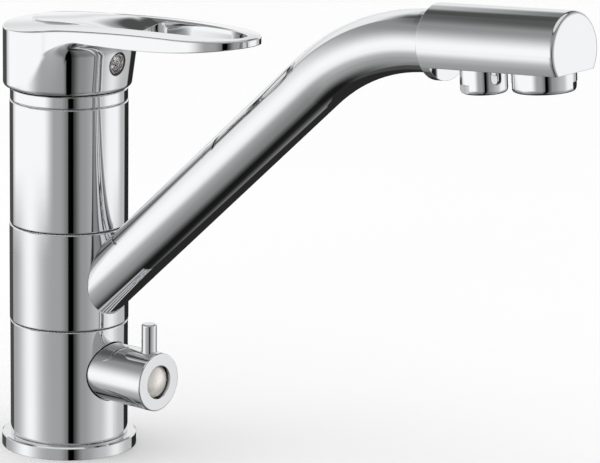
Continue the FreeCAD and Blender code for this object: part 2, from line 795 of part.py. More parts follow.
def quarter_ports(x0, side):
    """Two round ports on opposite sides of a valve disc."""
    offset = valve_cavity_r / 2
    holes = []
    for sign in (-1, 1):
        y, z = (0, sign * offset) if side == "upright" else (sign * offset, 0)
        holes.append(along_valve(valve_cavity_r / 4, x0 - 1, x0 + disc_t + 1, y, z))
    return holes


def filter_disc_fixed():
    x0 = valve_stack()[1]
    disc = along_valve(valve_cavity_r - seat_clearance, x0, x0 + disc_t)
    return disc.cut(quarter_ports(x0, "level"))


def filter_disc_moving():
    x0 = valve_stack()[2]
    disc = along_valve(valve_cavity_r - running_clearance, x0, x0 + disc_t)
    return disc.cut(quarter_ports(x0, "upright"))


def filter_spindle():
    x0 = valve_stack()[3]
    driver = along_valve(valve_cavity_r - running_clearance, x0, x0 + driver_t)
    shaft = along_valve(spindle_r, x0, spindle_end_x - spindle_square_length)
    half = spindle_square / 2
    square = block(spindle_end_x - spindle_square_length - 1, spindle_end_x,
                   -half, half, valve_z - half, valve_z + half)
    hole_x = spindle_end_x - knob_screw_length - end_gap
    screw_hole = along_valve(knob_screw_r + seat_clearance, hole_x, spindle_end_x + 1)
    return driver.multiFuse([shaft, square]).removeSplitter().cut(screw_hole)


def filter_spindle_o_ring():
    major = spindle_r + running_clearance + spindle_ring_section_r
    return Part.makeTorus(major, spindle_ring_section_r, V(spindle_ring_x, 0, valve_z), X_DIR)


def filter_knob():
    rear_x = port_floor_x + 2 * knob_port_gap
    sleeve = along_valve(knob_r, rear_x, knob_face_x)
    sleeve = sleeve.makeFillet(knob_edge_r, end_circles(sleeve, knob_face_x))
    hollow = along_valve(knob_bore_r, rear_x - 1, knob_web_x)
    recess = along_valve(knob_recess_r, knob_face_x - knob_cap_t, knob_face_x + 1)
    ledge = along_valve(knob_recess_r - knob_ledge_w, knob_web_x + knob_web_t, knob_face_x)
    half = spindle_square / 2 + seat_clearance
    drive = block(knob_web_x - 1, spindle_end_x + end_gap, -half, half, valve_z - half, valve_z + half)
    screw_hole = along_valve(knob_screw_r + 2 * seat_clearance, spindle_end_x, knob_web_x + knob_web_t + 1)
    spot = cylinder(pin_r + seat_clearance, V(pin_x, 0, pin_seat_z()), knob_r)
    thread_z = pin_seat_z() - pin_thread_h - end_gap
    thread = cylinder(pin_thread_r + seat_clearance, V(pin_x, 0, thread_z), knob_r)
    return sleeve.cut([hollow, recess, ledge, drive, screw_hole, spot, thread])


def pin_seat_z():
    """Spot face where the pin's shoulder seats on the round knob."""
    return valve_z + math.sqrt(knob_r ** 2 - pin_r ** 2) - seat_clearance


def knob_pin():
    z0 = pin_seat_z()
    shank = cylinder(pin_r, V(pin_x, 0, z0), pin_top_z - z0)
    shank = shank.makeFillet(pin_edge_r, circle_edges(shank, pin_r, pin_top_z))
    return shank.fuse(cylinder(pin_thread_r, V(pin_x, 0, z0 - pin_thread_h), pin_thread_h + 1))


def knob_cap():
    x0 = knob_face_x - knob_cap_t
    seat = along_valve(knob_recess_r - seat_clearance, x0, x0 + knob_cap_flange)
    button = along_valve(knob_cap_r, x0, knob_face_x)
    dome_r = (knob_cap_r ** 2 + knob_cap_dome ** 2) / (2 * knob_cap_dome)
    ball = Part.makeSphere(dome_r, V(knob_face_x + knob_cap_dome - dome_r, 0, valve_z))
    dome = ball.common(along_valve(knob_cap_r, knob_face_x - 1, knob_face_x + 1))
    return seat.multiFuse([button, dome]).removeSplitter()


def knob_screw():
    head_x = knob_web_x + knob_web_t
    head = along_valve(knob_screw_head_r, head_x, head_x + knob_screw_head_h)
    shank = along_valve(knob_screw_r, spindle_end_x - knob_screw_length, head_x + 1)
    half = knob_screw_slot / 2
    slot = block(head_x + knob_screw_head_h / 2, head_x + knob_screw_head_h + 1,
                 -knob_screw_head_r - 1, knob_screw_head_r + 1, valve_z - half, valve_z + half)
    return head.fuse(shank).cut(slot)


# ---- handle --------------------------------------------------------------------------------------
def at_foot(point):
    """An (x, height above the skirt's foot) pair as a point in the plane y = 0."""
    return V(point[0], 0, handle_z0 + point[1])


def lever_outline():
    """Plan of the lever: an elliptical nose and sides that open towards the body."""
    centre_x = lever_length - lever_nose_length
    angle = math.atan2(lever_nose_length * lever_side_slope, lever_half_width)
    touch = math.pi / 2 - angle
    nose = Part.Ellipse(V(centre_x, 0, 0), lever_nose_length, lever_half_width)
    arc = Part.ArcOfEllipse(nose, -touch, touch).toShape()
    x1 = centre_x + lever_nose_length * math.cos(touch)
    y1 = lever_half_width * math.sin(touch)
    y0 = y1 + lever_side_slope * x1
    sides = [
        Part.makeLine(V(x1, y1, 0), V(0, y0, 0)),
        Part.makeLine(V(0, y0, 0), V(0, -y0, 0)),
        Part.makeLine(V(0, -y0, 0), V(x1, -y1, 0)),
    ]
    return Part.Face(Part.Wire([arc] + sides))


def handle_prism():
    """The plan of skirt and lever together, standing upright."""
    lever = lever_outline().extrude(V(0, 0, blank_h))
    skirt = cylinder(skirt_r, V(0, 0, 0), blank_h)
    solid = skirt.fuse(lever).removeSplitter()
    corners = []
    for edge in solid.Edges:
        first, last = edge.Vertexes[0].Point, edge.Vertexes[-1].Point
        upright = abs(first.x - last.x) < 1e-6 and abs(first.y - last.y) < 1e-6
        at_corner = 1 < first.x < skirt_r and abs(first.y) > 1
        if upright and at_corner:
            corners.append(edge)
    solid = solid.makeFillet(lever_waist_r, corners)
    solid.translate(V(0, 0, handle_z0))
    return solid


def handle_bell():
    """Everything above the skirt's foot, the leaning column, the arch and the lever's underside."""
    foot_x = column_x + column_foot_r
    foot = V(foot_x - skirt_edge_r, 0, handle_z0)
    lean = math.atan2(column_top_r - column_foot_r, column_h)
    edge_end = V(foot_x + skirt_edge_r * math.tan(lean), 0, handle_z0 + skirt_edge_r)
    bulge = skirt_edge_r * (1 - math.sqrt(0.5))
    edge_mid = V(foot_x - bulge, 0, handle_z0 + bulge)
    column_top = V(column_x + column_top_r, 0, handle_z0 + column_h)
    axis_foot = V(column_x, 0, handle_z0)
    tip = at_foot(lever_under_tip)
    far = V(tip.x + blank_reach, 0, tip.z)
    top = V(far.x, 0, handle_z0 + blank_h)
    edges = [
        Part.makeLine(axis_foot, foot),
        Part.Arc(foot, edge_mid, edge_end).toShape(),
        Part.makeLine(edge_end, column_top),
        Part.Arc(column_top, at_foot(arch_mid), at_foot(arch_end)).toShape(),
        Part.Arc(at_foot(arch_end), at_foot(lever_under_mid), tip).toShape(),
        Part.makeLine(tip, far),
        Part.makeLine(far, top),
        Part.makeLine(top, V(column_x, 0, top.z)),
        Part.makeLine(V(column_x, 0, top.z), axis_foot),
    ]
    return Part.Face(Part.Wire(edges)).revolve(axis_foot, Z_DIR, 360)


def crowned(back, middle, front, crown_r):
    """A solid under a surface that is curved along X through three points and crowned across."""
    half_width = blank_half_width
    curve = Part.Arc(at_foot(back), at_foot(middle), at_foot(front)).toShape().Curve
    centre = curve.Center
    radius = curve.Radius
    apex_z = centre.z + radius
    drop = crown_r - math.sqrt(crown_r ** 2 - half_width ** 2)
    x = centre.x
    left = V(x, -half_width, apex_z - drop)
    right = V(x, half_width, apex_z - drop)
    low = apex_z - blank_h
    face = Part.Face(Part.Wire([
        Part.Arc(left, V(x, 0, apex_z), right).toShape(),
        Part.makeLine(right, V(x, half_width, low)),
        Part.makeLine(V(x, half_width, low), V(x, -half_width, low)),
        Part.makeLine(V(x, -half_width, low), left),
    ]))
    start = math.degrees(math.asin((back[0] - blank_reach - x) / radius))
    stop = math.degrees(math.asin((front[0] + blank_reach - x) / radius))
    face.rotate(centre, Y_DIR, start)
    return face.revolve(centre, Y_DIR, stop - start)


def upper_edges(solid):
    """Edges of the faces that look upwards."""
    found = []
    for face in solid.Faces:
        u0, u1, v0, v1 = face.ParameterRange
        looks_up = face.normalAt((u0 + u1) / 2, (v0 + v1) / 2).z > 0.9
        if looks_up and face.CenterOfMass.z > handle_z0 + roof_h:
            found.extend(face.Edges)
    return found


def half_oval(reach, start):
    """Half an ellipse about the tongue's widest place, from an angle on."""
    ellipse = Part.Ellipse(V(tongue_x, 0, 0), reach, tongue_half_width)
    return Part.ArcOfEllipse(ellipse, start, start + math.pi).toShape()


def tongue_plan():
    """Plan of the tongue, standing upright: a short half oval at the back and a long one in front."""
    back = half_oval(tongue_back, math.pi / 2)
    front = half_oval(tongue_front, -math.pi / 2)
    solid = Part.Face(Part.Wire([back, front])).extrude(V(0, 0, blank_h))
    solid.translate(V(0, 0, handle_z0))
    return solid


def under_tongue():
    """A solid below the tongue's surface: crowned on the pad, hollow where it sinks into the loop."""
    grid = []
    for x, height, rise in tongue_rows:
        row = []
        for share in (-1, -0.5, 0, 0.5, 1):
            row.append(V(x, tongue_edge_y * share, handle_z0 + height + rise * share ** 2))
        grid.append(row)
    surface = Part.BSplineSurface()
    surface.interpolate(grid)
    return surface.toShape().extrude(V(0, 0, -blank_h))


def finger_hole():
    """Loop in the lever: two arcs joined by their common tangents."""
    gap = hole_front_x - hole_back_x
    turn = math.asin((hole_back_r - hole_front_r) / gap)
    back_top = V(hole_back_x + hole_back_r * math.sin(turn), hole_back_r * math.cos(turn), 0)
    front_top = V(hole_front_x + hole_front_r * math.sin(turn), hole_front_r * math.cos(turn), 0)
    back_low = V(back_top.x, -back_top.y, 0)
    front_low = V(front_top.x, -front_top.y, 0)
    wire = Part.Wire([
        Part.Arc(back_top, V(hole_back_x - hole_back_r, 0, 0), back_low).toShape(),
        Part.makeLine(back_low, front_low),
        Part.Arc(front_low, V(hole_front_x + hole_front_r, 0, 0), front_top).toShape(),
        Part.makeLine(front_top, back_top),
    ])
    solid = Part.Face(wire).extrude(V(0, 0, blank_h))
    solid.translate(V(0, 0, handle_z0))
    return solid


def loop_edges(solid, side):
    """Rims of the loop on the lever's upper side (1) or its lower side (-1)."""
    found = []
    x0 = hole_back_x - hole_back_r
    x1 = hole_front_x + hole_front_r
    for face in solid.Faces:
        u0, u1, v0, v1 = face.ParameterRange
        if face.normalAt((u0 + u1) / 2, (v0 + v1) / 2).z * side < 0.5:
            continue
        for edge in face.Edges:
            box = edge.BoundBox
            if box.XMin > x0 - 0.1 and box.XMax < x1 + 0.1 and max(-box.YMin, box.YMax) < hole_back_r + 0.1:
                found.append(edge)
    return found


def plug_place():
    """The plug's centre on the column, as distances u and v in the stem's frame."""
    x = column_x + column_foot_r + (column_top_r - column_foot_r) * plug_z / column_h
    z = handle_z0 + plug_z - pivot_z
    lean = math.radians(stem_lean)
    u = x * math.cos(lean) - z * math.sin(lean)
    v = x * math.sin(lean) + z * math.cos(lean)
    return u, v


def handle_cavity():
    """Inside of the skirt, around the stem's boss and the web of the grub screw."""
    roof_z = handle_z0 + roof_h
    room_r = column_foot_r - column_wall
    room = cylinder(room_r, V(column_x, 0, handle_z0 - 1), roof_h + 1)
    room = room.makeFillet(roof_round, circle_edges(room, room_r, roof_z))
    u, v = plug_place()
    boss = cylinder(boss_r, V(0, 0, boss_v), blank_h)
    web = cylinder(web_r, V(0, 0, v), blank_h, X_DIR)
    return room.cut([on_stem(boss), on_stem(web)])


def lever_shell():
    """The handle's outside: a crowned frame with the tongue let into it, and the loop."""
    outline = handle_prism().common(handle_bell())
    frame = outline.common(crowned(top_back, top_mid, top_tip, top_crown_r))
    frame = frame.makeFillet(top_edge_r, upper_edges(frame))
    plan = tongue_plan()
    tongue = outline.common(plan).common(under_tongue())
    solid = frame.cut(plan).fuse(tongue).cut(finger_hole())
    solid = solid.makeFillet(hole_top_edge_r, loop_edges(solid, 1))
    return solid.makeFillet(hole_under_edge_r, loop_edges(solid, -1))


def handle():
    solid = lever_shell()
    u, v = plug_place()
    half = stem_square / 2 + seat_clearance
    socket = on_stem(block(-half, half, -half, half, boss_v - 1, socket_depth_v))
    screw_hole = on_stem(cylinder(screw_r + seat_clearance, V(0, 0, v), u, X_DIR))
    plug_hole = on_stem(cylinder(plug_r + seat_clearance, V(u - plug_t, 0, v), blank_reach, X_DIR))
    cuts = [handle_cavity(), socket, screw_hole, plug_hole]
    return solid.cut(cuts)


def handle_screw():
    v = plug_place()[1]
    start = stem_square / 2
    body = cylinder(screw_r, V(start, 0, v), screw_length, X_DIR)
    key = hexagon(screw_key, 0, screw_length / 3 + 1)
    key.rotate(V(0, 0, 0), Y_DIR, 90)
    key.translate(V(start + screw_length * 2 / 3, 0, v))
    return on_stem(body.cut(key))


def index_plug():
    u, v = plug_place()
    dome_r = (plug_r ** 2 + plug_dome ** 2) / (2 * plug_dome)
    face_u = u - plug_dome / 2
    body = cylinder(plug_r, V(u - plug_t, 0, v), face_u - u + plug_t, X_DIR)
    ball = Part.makeSphere(dome_r, V(face_u + plug_dome - dome_r, 0, v))
    dome = ball.common(cylinder(plug_r, V(face_u - 1, 0, v), plug_t, X_DIR))
    centre_hole = cylinder(plug_hole_r, V(u - plug_t / 2, 0, v), plug_t, X_DIR)
    return on_stem(body.fuse(dome).removeSplitter().cut(centre_hole))


NODES = [
    base_ring, deck_gasket, main_body, collar_o_rings, collar_glide_ring_lower, collar_glide_ring_upper,
    upper_body, top_ring, cartridge_nut, cartridge_housing, cartridge_seals, cartridge_fixed_disc,
    filter_valve_body, filter_valve_seal, filter_disc_fixed, filter_spindle_o_ring,
    spout_collar, spout_tube, filter_tube, spout_head,
    main_aerator_housing, main_aerator_insert, main_aerator_washer,
    filter_aerator_housing, filter_aerator_insert, filter_aerator_washer,
    filter_knob, knob_pin, knob_cap, knob_screw, filter_spindle, filter_disc_moving,
    cartridge_rotor, pivot_pin, cartridge_stem, handle, handle_screw, index_plug,
    cartridge_moving_disc, cartridge_carrier,
]


def main():
    os.makedirs("parts", exist_ok=True)
    for make in NODES:
        shape = make()
        if not shape.isValid() or shape.Volume <= 0:
            raise ValueError(make.__name__ + " is not a sound solid")
        shape.exportStep(os.path.join("parts", make.__name__ + ".step"))
        print(make.__name__, len(shape.Solids), round(shape.Volume, 1))


main()
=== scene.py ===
import math

import bmesh
import bpy
import numpy as np
from mathutils import Matrix, Vector


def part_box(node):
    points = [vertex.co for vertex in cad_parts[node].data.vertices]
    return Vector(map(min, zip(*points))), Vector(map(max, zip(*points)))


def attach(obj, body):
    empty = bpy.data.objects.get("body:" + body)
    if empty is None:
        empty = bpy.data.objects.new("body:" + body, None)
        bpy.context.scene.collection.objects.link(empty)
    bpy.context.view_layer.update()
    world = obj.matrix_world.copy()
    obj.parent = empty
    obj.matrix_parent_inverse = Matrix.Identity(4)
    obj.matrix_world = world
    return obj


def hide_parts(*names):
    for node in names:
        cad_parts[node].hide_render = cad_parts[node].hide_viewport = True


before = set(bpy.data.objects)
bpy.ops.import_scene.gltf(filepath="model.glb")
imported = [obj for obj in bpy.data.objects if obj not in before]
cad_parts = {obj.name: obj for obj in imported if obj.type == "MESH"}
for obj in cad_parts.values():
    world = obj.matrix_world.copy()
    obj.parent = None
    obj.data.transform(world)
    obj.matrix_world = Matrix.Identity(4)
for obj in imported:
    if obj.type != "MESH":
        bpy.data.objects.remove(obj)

bl_info = {
    "name": "Three Way Kitchen Tap",
    "version": (1, 0, 0),
    "blender": (4, 5, 0),
    "location": "View3D > Sidebar > Kitchen Tap",
    "description": "Handle, finishes and studio for a chrome kitchen tap with a mixer lever, "
                   "a swivel spout and a filter knob",
    "category": "Object",
}

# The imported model's nodes by finish.
PLATED_PIECES = (
    "base_ring", "main_body", "spout_collar", "upper_body", "top_ring", "spout_tube", "spout_head",
    "main_aerator_housing", "filter_aerator_housing", "filter_knob", "knob_pin", "handle",
)
BRASS_PIECES = ("cartridge_nut", "filter_valve_body", "filter_spindle", "cartridge_stem")
STEEL_PIECES = ("knob_screw", "handle_screw", "pivot_pin")
RUBBER_PIECES = (
    "deck_gasket", "collar_o_rings", "cartridge_seals", "filter_valve_seal", "filter_spindle_o_ring",
    "main_aerator_washer", "filter_aerator_washer",
)
ACETAL_PIECES = (
    "collar_glide_ring_lower", "collar_glide_ring_upper", "filter_tube",
    "main_aerator_insert", "filter_aerator_insert",
)
GREY_PLASTIC_PIECES = ("cartridge_housing", "cartridge_rotor", "cartridge_carrier")
CERAMIC_PIECES = (
    "cartridge_fixed_disc", "cartridge_moving_disc", "filter_disc_fixed", "filter_disc_moving",
)

# Sizes of the handle, plug and cap are in millimetres, and the handle's heights are over its foot. Meshes,
# settings and the stage are in metres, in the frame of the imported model.
MM = 0.001
HANDLE_FOOT_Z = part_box("handle")[0].z / MM

# The leaning column, the arch under the lever's root and the lever's underside, as (radius, height).
COLUMN_X = -1.2
COLUMN_FOOT_R = 26.1
COLUMN_TOP = (28.2, 16.0)
ARCH_MIDDLE = (30.9, 21.1)
ARCH_END = (36.3, 23.1)
UNDER_MIDDLE = (76.2, 25.0)
UNDER_TIP = (102.7, 28.9)

# The crowned frame on top, as (x, height), and the plan's waist between skirt and lever.
TOP_BACK = (-26.6, 24.4)
TOP_MIDDLE = (25.0, 29.6)
TOP_TIP_HEIGHT = 31.1
TOP_TIP_BEYOND = 3.5
CROWN_R = 150.0
SIDE_SLOPE = 0.072
WAIST_R = 35.0
OUTLINE_POINTS = 220

# The room for the cartridge inside the skirt, and the rounded edges.
ROOM_R = 24.1
ROOF_H = 20.5
ROOF_ROUND = 3.0
ROOM_FOOT_Z = 0.3
FOOT_EDGE_R = 1.6
FOOT_WALL_SHARE = 0.8
RIM_R = 0.8

# The blend of the skirt's wall into the bell. Its ranges are cosines of the angle from straight ahead.
BLEND_R = 2.4
BLEND_FOOT_R = 5.0
BLEND_TOP_Z = 20.0
BLEND_AHEAD = (0.22, 0.62)
BLEND_POWER = 1.2
BLEND_START_SHARES = (0.6, 0.4)
FLANK_ROOM = 1.6
FLANK_AHEAD = (0.0, 0.7)

# The tongue: a superellipse in plan, with a bowl of its own across it.
TONGUE_X = 2.5
TONGUE_HALF_WIDTH = 13.8
TONGUE_BACK = 18.5
TONGUE_BACK_POWER = 2.0
TONGUE_FRONT = 89.3
TONGUE_POWER = 2.9
TONGUE_EDGE_Y = 13.8
TONGUE_BOWL = 2.6
CREASE_W = 0.7
# Along the tongue: x, height of its middle, rise of its surface at TONGUE_EDGE_Y from the middle.
TONGUE_ROWS = (
    (-19.0, 26.5, -1.3),
    (-7.0, 28.05, -1.3),
    (3.0, 28.9, -1.1),
    (11.0, 29.05, -0.7),
    (17.0, 28.5, 0.1),
    (23.0, 27.3, 1.5),
    (28.5, 26.0, 3.1),
    (34.0, 25.0, 4.4),
    (41.0, 24.5, 5.2),
    (50.0, 24.3, 5.8),
    (62.0, 24.4, 6.1),
    (76.0, 25.4, 5.4),
    (93.0, 29.0, 2.0),
)
HALVINGS = 40

# The loop through the tongue.
LOOP_POINTS = 160
LOOP_INSET = 0.7
LOOP_BACK_X = 33.8
LOOP_BACK_R = 9.0
LOOP_BACK_POWER = 2.4
# Outwards from the loop's wall and upwards from the underside, from below the lever to above it.
LOOP_PROFILE = (
    (2.72, -9.0), (2.72, -0.7), (0.92, 0.15), (0.57, 0.37), (0.29, 0.68), (0.1, 1.05), (0.0, 1.6), (0.0, 14.0),
)

# The cap in the knob's face: a dome with a small turned edge.
CAP_DOME = 1.9
CAP_GAP = 0.45
CAP_EDGE = ((0.0, 0.35), (0.06, 0.12))
CAP_EDGE_ROOM = 0.2
CAP_RINGS = 22

# The plug, the black ring of painted shade in the gap round it, and its seat in the column. Heights are over
# the column's wall.
PLUG_Z = 11.7
PLUG_LEAN = math.radians(8.0)
PLUG_SHADE_RING_R = 4.45
PLUG_SHADE_RING_THICK = 0.29
PLUG_SHADE_RING_Z = -0.62
SEAT_DEPTH = 3.4
SEAT_CORNER = 0.4
SEAT_STRAIGHT_TOP = -0.5
SEAT_MOUTH = ((0.12, -0.2), (0.9, 1.0))
# Radius and height, from the plug's inner face over its lip to its hole.
PLUG_PROFILE = (
    (0.0, -3.0), (4.0, -3.0), (4.2, -2.8), (4.2, -0.9), (4.05, -0.6), (3.8, -0.45), (3.5, -0.45), (3.3, -0.7),
    (3.1, -1.5), (2.8, -1.6), (1.9, -0.9), (1.5, -0.7), (1.2, -0.75), (1.0, -1.0), (0.9, -2.6), (0.0, -2.6),
)

# The studio. Sides are degrees to the right of the camera, heights are degrees over level, and a level of
# light is 1 at white. A (side, side, soft) panel fades over soft at its edges.
TENT_COLUMNS = 240
TENT_ROWS = 120
LEFT_LEVEL = 0.42
LEFT_GLOW_SIDE = -82.0
LEFT_GLOW_BELOW_BOX = 0.45
LEFT_GLOW_WIDTHS = (27.0, 24.0)
RIGHT_SIDES = (3.0, 137.0)
RIGHT_LEVEL = 0.06
RIGHT_RISES = ((0.30, 8.0, 26.0), (0.22, 26.0, 58.0))
RIGHT_GLOW_LEVEL = 0.42
RIGHT_GLOW = (88.0, 17.0)
LEFT_BOX = (-134.0, -40.0, 24.0)
RIGHT_BOX = (78.0, 114.0, 20.0)
RIGHT_BOX_LEVEL = 1.10
BOX_FOOT = (-13.2, -12.3)
SHADE_DEPTH = 0.50
SHADE = (-2.0, 9.0)
SHADE_TOP = (10.0, 30.0)
FLAG_DEPTH = 0.99
FLAG = (-2.5, 8.5, 1.2)
FLAG_TOP = (8.0, 16.0)
UPPER_LEVEL = 0.33
UPPER_HEIGHTS = (-4.0, 38.0)
DARK_RING_LEVEL = 0.10
DARK_RING_HEIGHTS = (40.0, 53.0)
BACK_RIGHT_EDGE = (134.0, 138.0)
BACK_LEFT_EDGE = (-141.0, -138.0)
BACK_LOW_LEVEL = 0.025
BACK_LOW_PANEL_LEVEL = 0.055
BACK_LOW_PANEL = (-172.0, -139.0, 12.0)
BACK_RISE = (-9.0, 1.0)
BACK_DIP_DEPTH = 0.18
BACK_DIP = (12.5, 4.0)
BACK_RAISED_BY = 14.0
BACK_RAISED_SIDES = (176.0, 196.0)
BACK_TOP_LEVEL = 0.09
BACK_TOP = (20.0, 33.0)
LOW_SHADE_DEPTH = 0.45
LOW_SHADE_HEIGHTS = (-36.0, -18.0)
TABLE_LEVEL = 0.012
TABLE_RISES = ((0.38, -84.0, -50.0), (0.12, -50.0, -38.0))
TABLE_EDGE = (-40.0, -31.0)
CEILING_LEVEL = 0.82
CEILING_EDGE = (52.0, 58.0)
FLOOR_SIDES = 96
KEY_LAMP_PLACE = (-1.1, -1.2, 1.9)
FILL_LAMP_PLACE = (1.6, 0.4, 1.7)
LAMP_AIM = (0.1, 0.0, 0.1)

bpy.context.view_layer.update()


# ---- node helpers --------------------------------------------------------------------------------
def new_material(name):
    material = bpy.data.materials.new(name)
    material.use_nodes = True
    return material


def add(tree, kind, **values):
    """Add a node and set its properties and, by input name, its unlinked values."""
    node = tree.nodes.new(kind)
    for key, value in values.items():
        if hasattr(node, key):
            setattr(node, key, value)
        else:
            node.inputs[key.replace("_", " ")].default_value = value
    return node


def noise_between(tree, scale, low, high, detail=3.0):
    """A number that wanders softly between low and high over the surface."""
    place = add(tree, "ShaderNodeTexCoord")
    noise = add(tree, "ShaderNodeTexNoise", Scale=scale, Detail=detail)
    spread = add(tree, "ShaderNodeMapRange", From_Min=0.3, From_Max=0.7, To_Min=low, To_Max=high)
    tree.links.new(place.outputs["Object"], noise.inputs["Vector"])
    tree.links.new(noise.outputs["Fac"], spread.inputs["Value"])
    return spread.outputs["Result"]


def noise_colour(tree, scale, dark, light):
    """A colour that wanders softly between two near shades over the surface."""
    share = noise_between(tree, scale, 0.0, 1.0)
    mix = add(tree, "ShaderNodeMix", data_type="RGBA")
    for socket in mix.inputs:
        if socket.name in ("A", "B") and socket.type == "RGBA":
            socket.default_value = (*(dark if socket.name == "A" else light), 1.0)
    tree.links.new(share, mix.inputs["Factor"])
    return [socket for socket in mix.outputs if socket.type == "RGBA"][0]


def scaled(colour, factor):
    return tuple(min(1.0, channel * factor) for channel in colour)


def surface(name, colour, spread, colour_scale, roughness, rough_scale, bump_scale, bump_height,
            edge_radius=0.0, metallic=0.0):
    """A finish with wandering colour and roughness, fine relief and, where asked, softened edges."""
    material = new_material(name)
    tree = material.node_tree
    shader = tree.nodes["Principled BSDF"]
    shader.inputs["Metallic"].default_value = metallic
    tree.links.new(
        noise_colour(tree, colour_scale, scaled(colour, 1.0 - spread), scaled(colour, 1.0 + spread)),
        shader.inputs["Base Color"])
    tree.links.new(noise_between(tree, rough_scale, *roughness), shader.inputs["Roughness"])
    bump = add(tree, "ShaderNodeBump", Strength=1.0, Distance=bump_height)
    tree.links.new(noise_between(tree, bump_scale, 0.0, 1.0), bump.inputs["Height"])
    tree.links.new(bump.outputs["Normal"], shader.inputs["Normal"])
    if edge_radius > 0.0:
        edge = add(tree, "ShaderNodeBevel", samples=6, Radius=edge_radius)
        tree.links.new(edge.outputs["Normal"], bump.inputs["Normal"])
    return material


def dress(names, material):
    """Give CAD nodes a finish."""
    for name in names:
        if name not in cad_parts:
            raise RuntimeError(f"the packed model has no node {name}")
        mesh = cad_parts[name].data
        mesh.materials.clear()
        mesh.materials.append(material)


# ---- settings ------------------------------------------------------------------------------------
class TapFinishSettings(bpy.types.PropertyGroup):
    """Colours and finish of the tap's materials"""
    chrome_colour: bpy.props.FloatVectorProperty(
        name="Chrome", description="Colour of the polished plating", subtype="COLOR",
        default=(0.80, 0.81, 0.82), min=0.0, max=1.0)
    chrome_roughness: bpy.props.FloatProperty(
        name="Chrome roughness", description="Roughness of the polished plating", default=0.03,
        min=0.0, max=1.0)
    edge_radius: bpy.props.FloatProperty(
        name="Edge rounding", description="Rounding of the plated edges as it is shaded",
        default=0.00035, unit="LENGTH", min=0.0, max=0.002)
    brass_colour: bpy.props.FloatVectorProperty(
        name="Brass", description="Colour of the machined brass", subtype="COLOR",
        default=(0.74, 0.58, 0.32), min=0.0, max=1.0)
    steel_colour: bpy.props.FloatVectorProperty(
        name="Steel", description="Colour of the stainless steel screws", subtype="COLOR",
        default=(0.55, 0.56, 0.57), min=0.0, max=1.0)
    rubber_colour: bpy.props.FloatVectorProperty(
        name="Rubber", description="Colour of the seals", subtype="COLOR",
        default=(0.03, 0.03, 0.03), min=0.0, max=1.0)
    acetal_colour: bpy.props.FloatVectorProperty(
        name="White plastic", description="Colour of the glide rings and the outlets' inserts",
        subtype="COLOR", default=(0.84, 0.84, 0.82), min=0.0, max=1.0)
    grey_plastic_colour: bpy.props.FloatVectorProperty(
        name="Grey plastic", description="Colour of the cartridge's housing", subtype="COLOR",
        default=(0.45, 0.47, 0.49), min=0.0, max=1.0)
    ceramic_colour: bpy.props.FloatVectorProperty(
        name="Ceramic", description="Colour of the valve discs", subtype="COLOR",
        default=(0.90, 0.89, 0.86), min=0.0, max=1.0)
    pearl_colour: bpy.props.FloatVectorProperty(
        name="Pearl cap", description="Colour of the knob's cap", subtype="COLOR",
        default=(0.88, 0.85, 0.80), min=0.0, max=1.0)
    plug_colour: bpy.props.FloatVectorProperty(
        name="Index plug", description="Colour of the plug over the handle's screw", subtype="COLOR",
        default=(0.86, 0.83, 0.83), min=0.0, max=1.0)


class TapHandleSettings(bpy.types.PropertyGroup):
    """Main sizes of the handle"""
    skirt_radius: bpy.props.FloatProperty(
        name="Skirt radius", description="Radius of the round skirt over the body",
        default=26.6 * MM, unit="LENGTH", precision=4)
    lever_length: bpy.props.FloatProperty(
        name="Lever length", description="From the body's axis to the lever's tip",
        default=96.5 * MM, unit="LENGTH", precision=4)
    lever_half_width: bpy.props.FloatProperty(
        name="Lever half width", description="Half of the lever's width where its nose starts",
        default=19.6 * MM, unit="LENGTH", precision=4)
    nose_length: bpy.props.FloatProperty(
        name="Nose length", description="Length of the lever's elliptical nose",
        default=32.0 * MM, unit="LENGTH", precision=4)
    plug_seat_radius: bpy.props.FloatProperty(
        name="Plug seat radius", description="Radius of the round seat of the index plug",
        default=4.75 * MM, unit="LENGTH", precision=4)


class TapStudioSettings(bpy.types.PropertyGroup):
    """The floor, the lamps and what the chrome reflects"""
    floor_colour: bpy.props.FloatVectorProperty(
        name="Floor", description="Colour of the pale floor", subtype="COLOR",
        default=(0.96, 0.96, 0.96), min=0.0, max=1.0)
    floor_radius: bpy.props.FloatProperty(
        name="Floor radius", description="Radius of the round floor", default=6.0, unit="LENGTH",
        min=0.5, max=50.0)
    sky_level: bpy.props.FloatProperty(
        name="Fill light", description="Level of the light that comes from all round", default=0.97,
        min=0.0, max=2.0)
    lamp_power: bpy.props.FloatProperty(
        name="Lamp power", description="Power of the large soft lamp", default=4.0, unit="POWER",
        min=0.0, max=500.0)
    lamp_size: bpy.props.FloatProperty(
        name="Lamp size", description="Side of the square soft lamp", default=1.2, unit="LENGTH",
        min=0.1, max=5.0)
    tent_radius: bpy.props.FloatProperty(
        name="Tent radius", description="Radius of the tent of panels that the chrome reflects",
        default=8.0, unit="LENGTH", min=1.0, max=50.0)
    box_level: bpy.props.FloatProperty(
        name="Side box level", description="Brightness of the two side light boxes", default=1.15,
        min=0.0, max=3.0)


